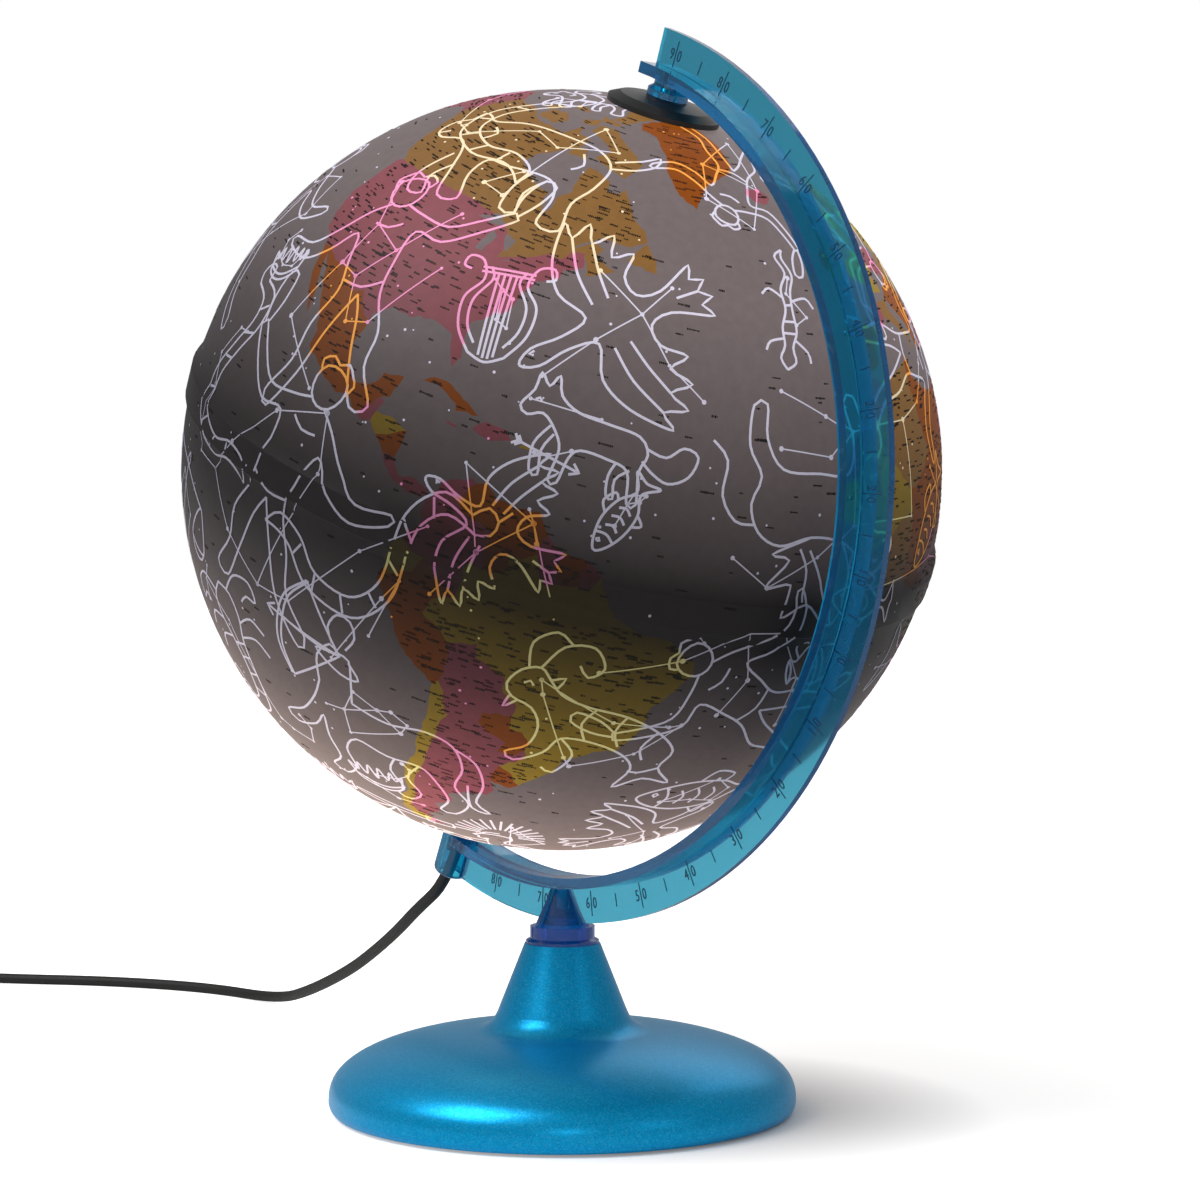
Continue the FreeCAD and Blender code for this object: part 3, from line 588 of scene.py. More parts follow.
# Countries and islands: a ground colour, then outlines as longitude and latitude in
# degrees. Later ones lie over earlier ones.
LANDS = (
    (Ink.ICE, """-180 -90, -180 -78, -150 -77, -135 -74, -100 -73, -75 -73, -68 -68, -58 -63.5,
    -61 -70, -62 -76, -35 -78, -20 -73, 0 -70, 30 -69, 55 -66, 90 -66.5, 135 -66, 165 -70, 168 -77,
    180 -78, 180 -90"""),
    (Ink.PINK, """-168 66, -162 67, -166 68.5, -156 71.2, -150 70.5, -141 69.7, -141 60.3, -137 59,
    -131 55, -134 58.5, -140 59.8, -146 60.8, -151 59.5, -155 57.5, -160 55.5, -164 54.6, -158 58,
    -162 59, -166 61, -164 63.5, -161 64.5, -166 64.7"""),
    (Ink.GOLD, """-141 69.7, -135 69, -128 70, -120 69.5, -115 68.5, -108 68, -102 68, -96 68,
    -94 71.5, -91 69, -86 69, -85 66.5, -88 64.5, -94 61, -94.5 58.5, -90 57, -85 55.3, -82 55,
    -82 52.8, -80 51.2, -79 52.5, -79.5 54.5, -77 56.5, -78 60, -77.5 62.5, -73 62, -69.5 60.8,
    -69 58.8, -66 58.8, -64.5 60.3, -62 57.5, -60 55, -57 53.5, -56 51.8, -59 50.2, -66 50.2, -69 48.5,
    -71 46.8, -67 49, -64.5 48.8, -65.5 47, -61 45.5, -66 43.6, -66.5 45, -67.8 47, -70 46.8, -71.5 45,
    -74.7 45, -76.5 44, -79 43.3, -83 42, -82.4 45, -84.5 46.5, -88 48.2, -92 48.4, -95 49, -123 49,
    -125 50, -128 52, -131 55, -137 59, -141 60.3"""),
    (Ink.GOLD, """-62 66.5, -66 62.5, -72 63.5, -78 65, -74 67.5, -82 70, -89 71, -89 73.5, -80 73.7,
    -73 71, -67 69"""),
    (Ink.GOLD, """-117 69, -105 69, -103 71, -110 73, -118 72"""),
    (Ink.GOLD, """-125 72, -120 71.3, -118 73.5, -123 74.2"""),
    (Ink.GOLD, """-62 82.5, -75 79, -80 76.3, -90 76.5, -87 79, -92 81.5, -80 83"""),
    (Ink.GOLD, """-80 75, -92 74.7, -96 76.5, -84 76"""),
    (Ink.GOLD, """-96 72, -90 73, -93 75, -100 73"""),
    (Ink.GOLD, """-117 75, -107 75.2, -106 76.2, -116 76.5"""),
    (Ink.GOLD, """-59.3 47.8, -53 46.8, -53.5 49, -56 51.4, -58 49.5"""),
    (Ink.GOLD, """-87 64, -80.5 63.8, -82 66, -86 65.8"""),
    (Ink.ORANGE, """-44 60, -49 62, -53.5 67, -54 70.5, -60 75.5, -70 76.5, -72 78.5, -66 80.8,
    -50 82.3, -32 83.4, -20 81.5, -18 77, -21 73, -24 70.5, -33 67.5, -40 65"""),
    (Ink.PINK, """-24 65.5, -22 63.9, -18 63.4, -13.7 65, -16 66.4, -22 66.3"""),
    (Ink.PINK, """-123 49, -95 49, -92 48.4, -88 48.2, -84.5 46.5, -82.4 45, -83 42, -79 43.3,
    -76.5 44, -74.7 45, -71.5 45, -70 46.8, -67.8 47, -67 44.8, -70.3 43.5, -70.5 41.8, -74 40.6,
    -75.5 37.5, -76 35.2, -78.5 33.8, -81.2 31.5, -80 26.8, -80.8 25.2, -82 27, -83 29.3, -85.5 30,
    -89.5 30, -91 29.2, -94.5 29.6, -97.3 27.5, -97.2 26, -99.5 27.5, -101.5 29.7, -103.5 29,
    -106.5 31.7, -111 31.3, -114.8 32.5, -117.1 32.5, -118.5 34, -120.6 34.6, -122.5 37.5, -124.3 40.3,
    -124 44, -124.6 48.3"""),
    (Ink.SEA, """-92 46.8, -88 48.6, -85 46.8, -88 46.6"""),
    (Ink.SEA, """-87.8 42, -86.3 42, -85.5 45, -87 45.8"""),
    (Ink.SEA, """-84 45.9, -81.5 45.5, -82 43.2, -83.3 44.3"""),
    (Ink.SEA, """-83 41.6, -79 42.8, -80.5 42"""),
    (Ink.ORANGE, """-117.1 32.5, -114.8 32.5, -111 31.3, -106.5 31.7, -103.5 29, -101.5 29.7,
    -99.5 27.5, -97.2 26, -97.8 22.3, -96 19.3, -94.5 18.2, -92 18.6, -90.6 19.8, -90.3 21, -87 21.5,
    -87.8 18.3, -89.2 17.8, -90.5 16, -92.2 14.6, -94.5 16.2, -96.5 15.7, -99.5 16.7, -102 18,
    -105.3 19.6, -105.4 21.8, -108 25, -109.5 26.8, -112.5 30, -114.7 31.7, -113 29, -111 26.5,
    -109.6 23, -110.5 24, -112.2 25.5, -114 27.5, -115.5 29.8"""),
    (Ink.PINK, """-92.2 14.6, -90.5 16, -89.2 17.8, -88.3 17.5, -88.9 15.9, -89.3 14.4, -90.8 13.9"""),
    (Ink.OLIVE, """-89.3 14.4, -88.9 15.9, -86 15.9, -83.3 15, -86 13.5, -87.7 12.9"""),
    (Ink.ORANGE, """-83.3 15, -83.7 11, -85.7 11.1, -87.7 12.9, -86 13.5"""),
    (Ink.PINK, """-85.7 11.1, -83.7 11, -82.2 9, -79.8 9.5, -77.4 8.6, -78 7.5, -80.3 7.3, -82.9 8.2,
    -84.8 9.7"""),
    (Ink.ORANGE, """-84.8 21.9, -82.5 23.1, -79.5 22.9, -75.5 21, -74.2 20.2, -77.6 19.9, -78 20.8,
    -81.7 22.3"""),
    (Ink.PINK, """-74.4 18.4, -72.8 19.9, -69.9 19.7, -68.4 18.5, -71.2 17.7"""),
    (Ink.OLIVE, """-67.2 18.4, -65.7 18.4, -65.8 18, -67.1 18"""),
    (Ink.PINK, """-78.3 18.4, -76.4 18.1, -76.9 17.8, -78.2 18"""),
    (Ink.PINK, """-77.4 8.6, -76.8 8, -75.5 10.6, -74.8 11.1, -72 12.2, -71.3 11.7, -72.8 9.5,
    -72.4 7.4, -70 7, -67.5 6.2, -67.4 3, -67 1.2, -69.8 1.2, -69.4 -1, -70 -4.2, -73 -2.4, -75.2 -0.1,
    -77.5 0.4, -79 1.6, -77.2 3.8, -77.5 6.5"""),
    (Ink.ORANGE, """-71.3 11.7, -70 12.1, -68.3 10.8, -65 10.1, -62 10.7, -60.8 9, -60 8, -61.2 6,
    -60.7 5.1, -62.5 4, -64.2 4, -64 1.8, -66.2 0.8, -67 1.2, -67.4 3, -67.5 6.2, -70 7, -72.4 7.4,
    -72.8 9.5"""),
    (Ink.PINK, """-60 8, -57.3 6, -57.9 4, -56.5 1.9, -59 1.4, -60 3, -60.7 5.1, -61.2 6"""),
    (Ink.ORANGE, """-57.3 6, -54 5.9, -54.6 2.3, -56.5 1.9, -57.9 4"""),
    (Ink.PINK, """-54 5.9, -51.7 4.3, -52.7 2.3, -54.6 2.3"""),
    (Ink.OLIVE, """-79 1.6, -77.5 0.4, -75.2 -0.1, -76.5 -2.8, -78.4 -3.5, -80 -4.4, -80.3 -3.4,
    -81 -2.2, -80.2 0.3"""),
    (Ink.ORANGE, """-80.3 -3.4, -80 -4.4, -78.4 -3.5, -76.5 -2.8, -75.2 -0.1, -73 -2.4, -70 -4.2,
    -73 -5.5, -73.8 -8, -70.6 -9.8, -69.5 -11, -69 -12.5, -69 -16, -69.6 -17.5, -70.4 -18.3,
    -73.5 -16.3, -76.2 -14, -77.5 -11.5, -79.5 -7.8, -81.2 -6, -81.3 -4.3"""),
    (Ink.PINK, """-69.5 -11, -65.4 -9.8, -65 -12, -60.5 -13.8, -60.2 -16.2, -57.8 -17.8, -58 -19.8,
    -62.3 -20.5, -62.6 -22.2, -64.5 -22.4, -67.2 -22.8, -67.8 -22.8, -68.6 -19, -69.6 -17.5, -69 -16,
    -69 -12.5"""),
    (Ink.OLIVE, """-51.7 4.3, -50 1.2, -48.5 -0.8, -44.5 -2.5, -40 -2.9, -37 -5, -35.2 -5.6, -34.9 -8,
    -37 -11, -39 -13.5, -39.2 -17.5, -41 -22, -44.5 -23.2, -48.5 -26, -48.8 -28.5, -51 -31,
    -53.4 -33.7, -55.8 -31, -57.6 -30.1, -54 -27.2, -54.6 -25.6, -54.3 -24.1, -55.8 -22.3, -57.9 -22.1,
    -58 -19.8, -57.8 -17.8, -60.2 -16.2, -60.5 -13.8, -65 -12, -65.4 -9.8, -69.5 -11, -70.6 -9.8,
    -73.8 -8, -73 -5.5, -70 -4.2, -69.4 -1, -69.8 1.2, -67 1.2, -66.2 0.8, -64 1.8, -64.2 4, -62.5 4,
    -60.7 5.1, -60 3, -59 1.4, -56.5 1.9, -54.6 2.3, -52.7 2.3"""),
    (Ink.ORANGE, """-62.3 -20.5, -58 -19.8, -57.9 -22.1, -55.8 -22.3, -54.3 -24.1, -54.6 -25.6,
    -56 -27.3, -58.6 -27.2, -57.7 -25.2, -61 -23.8, -62.6 -22.2"""),
    (Ink.ORANGE, """-57.6 -30.1, -55.8 -31, -53.4 -33.7, -54.8 -34.9, -58.3 -34, -58.2 -32"""),
    (Ink.PINK, """-64.5 -22.4, -62.6 -22.2, -61 -23.8, -57.7 -25.2, -58.6 -27.2, -56 -27.3,
    -54.6 -25.6, -54 -27.2, -57.6 -30.1, -58.2 -32, -58.3 -34, -57 -36.4, -58 -38.2, -62 -39, -65 -41,
    -63.8 -42.6, -67.4 -46, -65.8 -47.8, -69 -51, -68.5 -52.3, -65.2 -54.7, -68.6 -54.9, -68.7 -52.6,
    -72 -51.8, -73.2 -49.8, -71.6 -45, -71.8 -41, -70.4 -36, -69.8 -33.5, -69 -29, -68.3 -24.8,
    -67.2 -22.8"""),
    (Ink.OLIVE, """-70.4 -18.3, -69.6 -17.5, -68.6 -19, -67.8 -22.8, -67.2 -22.8, -68.3 -24.8, -69 -29,
    -69.8 -33.5, -70.4 -36, -71.8 -41, -71.6 -45, -73.2 -49.8, -72 -51.8, -68.7 -52.6, -68.6 -54.9,
    -72 -54.5, -75.5 -51.5, -75 -47, -73 -44, -73.8 -40, -73.5 -37, -71.6 -33, -71.5 -29, -70.5 -25"""),
    (Ink.PINK, """-61 -51.8, -58 -51.4, -58.5 -52.2"""),
    (Ink.ORANGE, """-9.3 43, -1.8 43.4, 3.2 42.3, -0.2 39.5, -0.8 37.6, -5.4 36, -7.3 37.2, -6.5 41.8,
    -8.8 41.9"""),
    (Ink.PINK, """-8.8 41.9, -6.5 41.8, -7.3 37.2, -8.9 37, -9.4 38.8"""),
    (Ink.PINK, """-1.8 43.4, -1.2 46, -4.7 48.4, -1.5 48.7, 2 51, 6 49.5, 8 48.9, 8 47.6, 7 46,
    7.5 43.8, 3.2 42.3"""),
    (Ink.OLIVE, """-5.7 50.1, 1.3 51.2, 0.3 53, -2 55.8, -2 57.5, -5 58.6, -5.5 56, -3 54, -5 51.8"""),
    (Ink.ORANGE, """-10 51.7, -6.2 52.3, -6 54.3, -8.3 55.2, -10 54"""),
    (Ink.OLIVE, """2 51, 4 53, 8.6 53.8, 8.6 55, 14.2 54, 14.8 51, 12.3 50.2, 13 47.6, 8 47.6, 8 48.9,
    6 49.5"""),
    (Ink.GOLD, """7 46, 13 46.5, 12.3 44.5, 18.4 40, 16 38, 15.8 40, 12 42, 7.5 43.8"""),
    (Ink.PINK, """5 62, 5.5 58.8, 7.5 58, 11 59.2, 12 61.5, 14 66, 19 69, 25 69.8, 30 70.5, 24 71,
    14 68"""),
    (Ink.OLIVE, """11 59.2, 12.8 55.5, 16.3 56.8, 19 60, 17.3 62.5, 22 65.8, 24 65.8, 23.5 68, 19 69,
    14 66, 12 61.5"""),
    (Ink.ORANGE, """24 65.8, 21.3 63, 22.5 60, 28 60.5, 31 62.5, 29.5 66.5, 28.5 69.5, 25 69.8, 23.5 68"""),
    (Ink.PINK, """14.2 54, 19.5 54.4, 23.5 54, 23.6 51, 22.6 49.1, 18.9 49.5, 14.8 51"""),
    (Ink.GOLD, """23.6 51, 31 52.2, 40 49.6, 38 47, 35 46.2, 33 44.5, 30.8 46.4, 28.2 45.4, 22.6 49.1"""),
    (Ink.ORANGE, """13 46.5, 16.2 48, 22.6 49.1, 28.2 45.4, 28 43.4, 26 41, 22.8 40.5, 23 37, 21.5 37,
    19.3 41.5, 15 44.8"""),
    (Ink.OLIVE, """29.5 66.5, 31 62.5, 28 60.5, 28 57, 27.5 54, 31 52.2, 40 49.6, 47 48, 47 45,
    49 46.5, 51 51, 61 51, 61.5 54, 71 54.2, 80 51, 87 49.2, 98 50.5, 116 50, 120 53.3, 127 50, 131 48,
    135 48.4, 131 43, 135.5 44, 140.5 48.5, 137 54, 143 59.3, 155 59.3, 163 61.5, 157 57, 157 51.3,
    163 56, 164 60, 171 60, 177 62.5, 179 65, 179 68.8, 170 69.8, 160 69.7, 140 72.5, 127 73, 113 74,
    104 77.5, 88 75.3, 80 72.5, 73 71.5, 72 68, 68 68.8, 55 68.5, 44 67, 40 64.6, 33 66.7, 41 67,
    33 69.4, 30 70.5"""),
    (Ink.GOLD, """51 51, 49 46.5, 53 45, 56 41.5, 60.5 44.5, 67 42, 74 43, 80 42.2, 82.5 45.5, 87 49.2,
    80 51, 71 54.2, 61.5 54, 61 51"""),
    (Ink.ORANGE, """53 42, 53 37.4, 61 36.5, 67 37, 75 37.3, 80 42.2, 74 43, 67 42, 60.5 44.5, 56 41.5"""),
    (Ink.PINK, """75 37.3, 80 42.2, 82.5 45.5, 87 49.2, 91 45.2, 97 42.7, 105 41.8, 112 43.5, 119 47,
    116 50, 120 53.3, 127 50, 131 48, 135 48.4, 131 43, 124 40, 121.5 39, 118 39, 122 37, 119.3 35,
    122 31, 120 26, 114 22.4, 108.5 21.6, 105 23, 101 21.6, 98 25, 97 28, 92 27.5, 81 30.5, 79 33"""),
    (Ink.ORANGE, """87 49.2, 98 50.5, 116 50, 119 47, 112 43.5, 105 41.8, 97 42.7, 91 45.2"""),
    (Ink.ORANGE, """68 23.7, 70 28, 74.5 32, 79 33, 81 30.5, 88.5 26.5, 92 27.5, 97 28, 94.5 25,
    92.3 21.5, 88 21.8, 82.3 16.5, 80.2 13.5, 77.5 8.1, 74.5 14, 72.7 21"""),
    (Ink.OLIVE, """61.5 25.2, 68 23.7, 70 28, 74.5 32, 79 33, 75 37.3, 67 37, 61 36.5, 61 30"""),
    (Ink.GOLD, """44.5 39.7, 48 38.5, 53 37, 61 36.5, 61 30, 61.5 25.2, 57 26.8, 51 28, 48.5 30.2,
    45.5 34"""),
    (Ink.PINK, """26 40.5, 27 37, 30.5 36.3, 36 36, 42.5 37.2, 44.5 39.7, 41.5 41.5, 35 42, 31 41.2"""),
    (Ink.ORANGE, """36 36, 34.5 31.5, 39 32, 42 31, 47 29.5, 48.5 30.2, 45.5 34, 44.5 39.7, 42.5 37.2"""),
    (Ink.OLIVE, """34.9 29.5, 39 32, 42 31, 47 29.5, 50 26.5, 51.5 24.5, 56.3 26, 59.8 22.5, 55 17.5,
    45 12.8, 42.7 15.5, 39 21.3"""),
    (Ink.GOLD, """92.3 21.5, 94.5 25, 97 28, 98 25, 101 21.6, 105 23, 108.5 21.6, 106 18.5, 109 12.5,
    105 8.7, 102.3 12.2, 100 13.4, 99.3 10, 103.5 1.4, 98.5 8, 97.5 16.5, 94.2 16"""),
    (Ink.PINK, """130 31.5, 132 33.5, 136 33.6, 140.8 35.7, 141.9 39.5, 141 41.3, 139.5 38.5, 136 36,
    131 34.3"""),
    (Ink.PINK, """140 42, 145.3 43.3, 141.8 45.4"""),
    (Ink.ORANGE, """126.4 34.5, 129.4 35.3, 127.6 39.5, 130.5 42.3, 124 40, 125.2 38"""),
    (Ink.PINK, """120.3 16, 120.6 18.5, 122.2 18.3, 121.6 15, 124 12.9, 120.8 13.8"""),
    (Ink.PINK, """122 7, 126.3 7.5, 125.6 9.8, 123 8.6"""),
    (Ink.ORANGE, """109 1.5, 111 -3, 116 -4, 118 1, 119 5, 116.7 7, 113 3.2"""),
    (Ink.ORANGE, """95.3 5.6, 98.7 3.8, 104 -1, 106 -3, 105.5 -5.8, 101 -2.8"""),
    (Ink.ORANGE, """105.3 -6.8, 108.5 -6.6, 114.4 -7.8, 114.4 -8.6, 108 -7.8"""),
    (Ink.ORANGE, """119 -5.5, 120.4 -5.5, 121 -3, 122.5 -4.5, 121.5 -1.2, 125 1.5, 120 0.8"""),
    (Ink.PINK, """131 -0.8, 135 -3.3, 138 -1.7, 144 -3.8, 148 -6.5, 150.5 -10.5, 143 -9, 138 -8.2,
    134 -4"""),
    (Ink.OLIVE, """113.7 -22.5, 114 -26.5, 115.7 -32, 118 -35, 124 -33.5, 131 -31.5, 135.5 -34.8,
    138 -33.5, 140.5 -38, 146.4 -39, 150 -37.3, 153 -31, 153 -25.5, 146.5 -19, 145.3 -15, 142.5 -10.8,
    141 -17, 139.5 -17.5, 135.5 -15, 136.8 -12.2, 131 -12, 129 -15, 125 -14.5, 122 -18"""),
    (Ink.OLIVE, """144.7 -40.8, 148.3 -41, 147 -43.6, 145.5 -42.6"""),
    (Ink.PINK, """172.7 -34.5, 175.5 -36.8, 178.4 -37.7, 176.5 -41, 174.8 -41.4, 173.8 -39.2,
    174.8 -37.5"""),
    (Ink.PINK, """172.7 -40.6, 174.3 -41.8, 171 -44.5, 169.5 -46.6, 166.6 -45.8"""),
    (Ink.PINK, """-5.9 35.8, -2 35, -1.2 32.2, -8.7 27.3, -13 21.5, -17 21, -14.5 26, -10 30, -9.5 32"""),
    (Ink.GOLD, """-2 35, 8.5 37, 8 33, 9.8 27, 12 23.5, 5.8 19.5, 3 19, -4.8 25, -8.7 27.3, -1.2 32.2"""),
    (Ink.ORANGE, """8.5 37, 11 37, 10.2 34.5, 15 32.3, 20 30.8, 25 31.6, 25 22, 24 19.5, 15 23,
    12 23.5, 9.8 27, 8 33"""),
    (Ink.PINK, """25 31.6, 30 31.3, 34.2 31.3, 32.5 29.9, 35.5 24, 37 22, 25 22"""),
    (Ink.OLIVE, """-17 21, -13 21.5, -8.7 27.3, -4.8 25, 3 19, 4 15.5, 0 15, -4 12.5, -8 10.5,
    -11.5 12.3, -12.3 14.8, -16.4 16.2"""),
    (Ink.ORANGE, """5.8 19.5, 12 23.5, 15 23, 24 19.5, 22.5 12, 19 9, 15 7.7, 14.5 13, 4 12, 4 15.5,
    3 19"""),
    (Ink.PINK, """-16.4 16.2, -12.3 14.8, -11.5 12.3, -8 10.5, -4 12.5, -3 9.8, -3 5.1, -7.5 4.4,
    -11.5 6.8, -13.3 9, -16.8 12.5, -17.4 14.7"""),
    (Ink.GOLD, """-3 5.1, -3 9.8, -4 12.5, 0 15, 4 15.5, 4 12, 2.7 6.3"""),
    (Ink.ORANGE, """2.7 6.3, 4 12, 14.5 13, 13 9, 9 4.5, 6 4.3"""),
    (Ink.PINK, """9 4.5, 13 9, 14.5 13, 15 7.7, 19 9, 22.5 12, 27.4 5, 18.5 4, 16 2.2, 9.8 2.3"""),
    (Ink.ORANGE, """9.8 2.3, 16 2.2, 18.5 4, 16.5 -1.5, 12.2 -5.8, 9 -1"""),
    (Ink.OLIVE, """18.5 4, 27.4 5, 31 3.5, 29.5 -4.5, 30.5 -8.5, 28.5 -12.5, 22 -11, 21.8 -7.3,
    16.8 -6, 12.2 -5.8, 16.5 -1.5"""),
    (Ink.ORANGE, """25 22, 37 22, 38.5 18, 36.4 14.5, 34 10, 34 5, 31 3.5, 27.4 5, 22.5 12, 24 19.5"""),
    (Ink.PINK, """36.4 14.5, 43.2 12, 51.2 11.8, 48 4.5, 42 -1, 41 4, 36 4.5, 34 5, 34 10"""),
    (Ink.GOLD, """31 3.5, 34 5, 36 4.5, 41 4, 42 -1, 39 -5, 40.4 -10.5, 34.5 -11.5, 30.5 -8.5,
    29.5 -4.5"""),
    (Ink.PINK, """12.2 -5.8, 16.8 -6, 21.8 -7.3, 22 -11, 22 -16.5, 11.8 -17.2, 13.8 -12, 13 -8.8"""),
    (Ink.ORANGE, """22 -11, 28.5 -12.5, 30.5 -8.5, 34.5 -11.5, 32.5 -14, 30.4 -15.7, 27 -17.9, 22 -16.5"""),
    (Ink.OLIVE, """34.5 -11.5, 40.4 -10.5, 40.7 -15, 35 -20, 35.5 -24, 32.8 -26, 31.3 -22.3, 33 -17,
    30.4 -15.7, 32.5 -14"""),
    (Ink.GOLD, """27 -17.9, 30.4 -15.7, 33 -17, 31.3 -22.3, 27 -23.7, 20.8 -26.8, 20 -22, 22 -16.5"""),
    (Ink.ORANGE, """11.8 -17.2, 22 -16.5, 20 -22, 20.8 -26.8, 20 -28.4, 16.5 -28.6, 14.5 -22.5"""),
    (Ink.PINK, """16.5 -28.6, 20 -28.4, 20.8 -26.8, 27 -23.7, 31.3 -22.3, 32.8 -26, 30.5 -31, 27 -33.6,
    20 -34.8, 18.3 -34"""),
    (Ink.ORANGE, """44 -25, 47 -25, 50.4 -15.8, 49.3 -12, 44.3 -16.3, 43.4 -22"""),
)


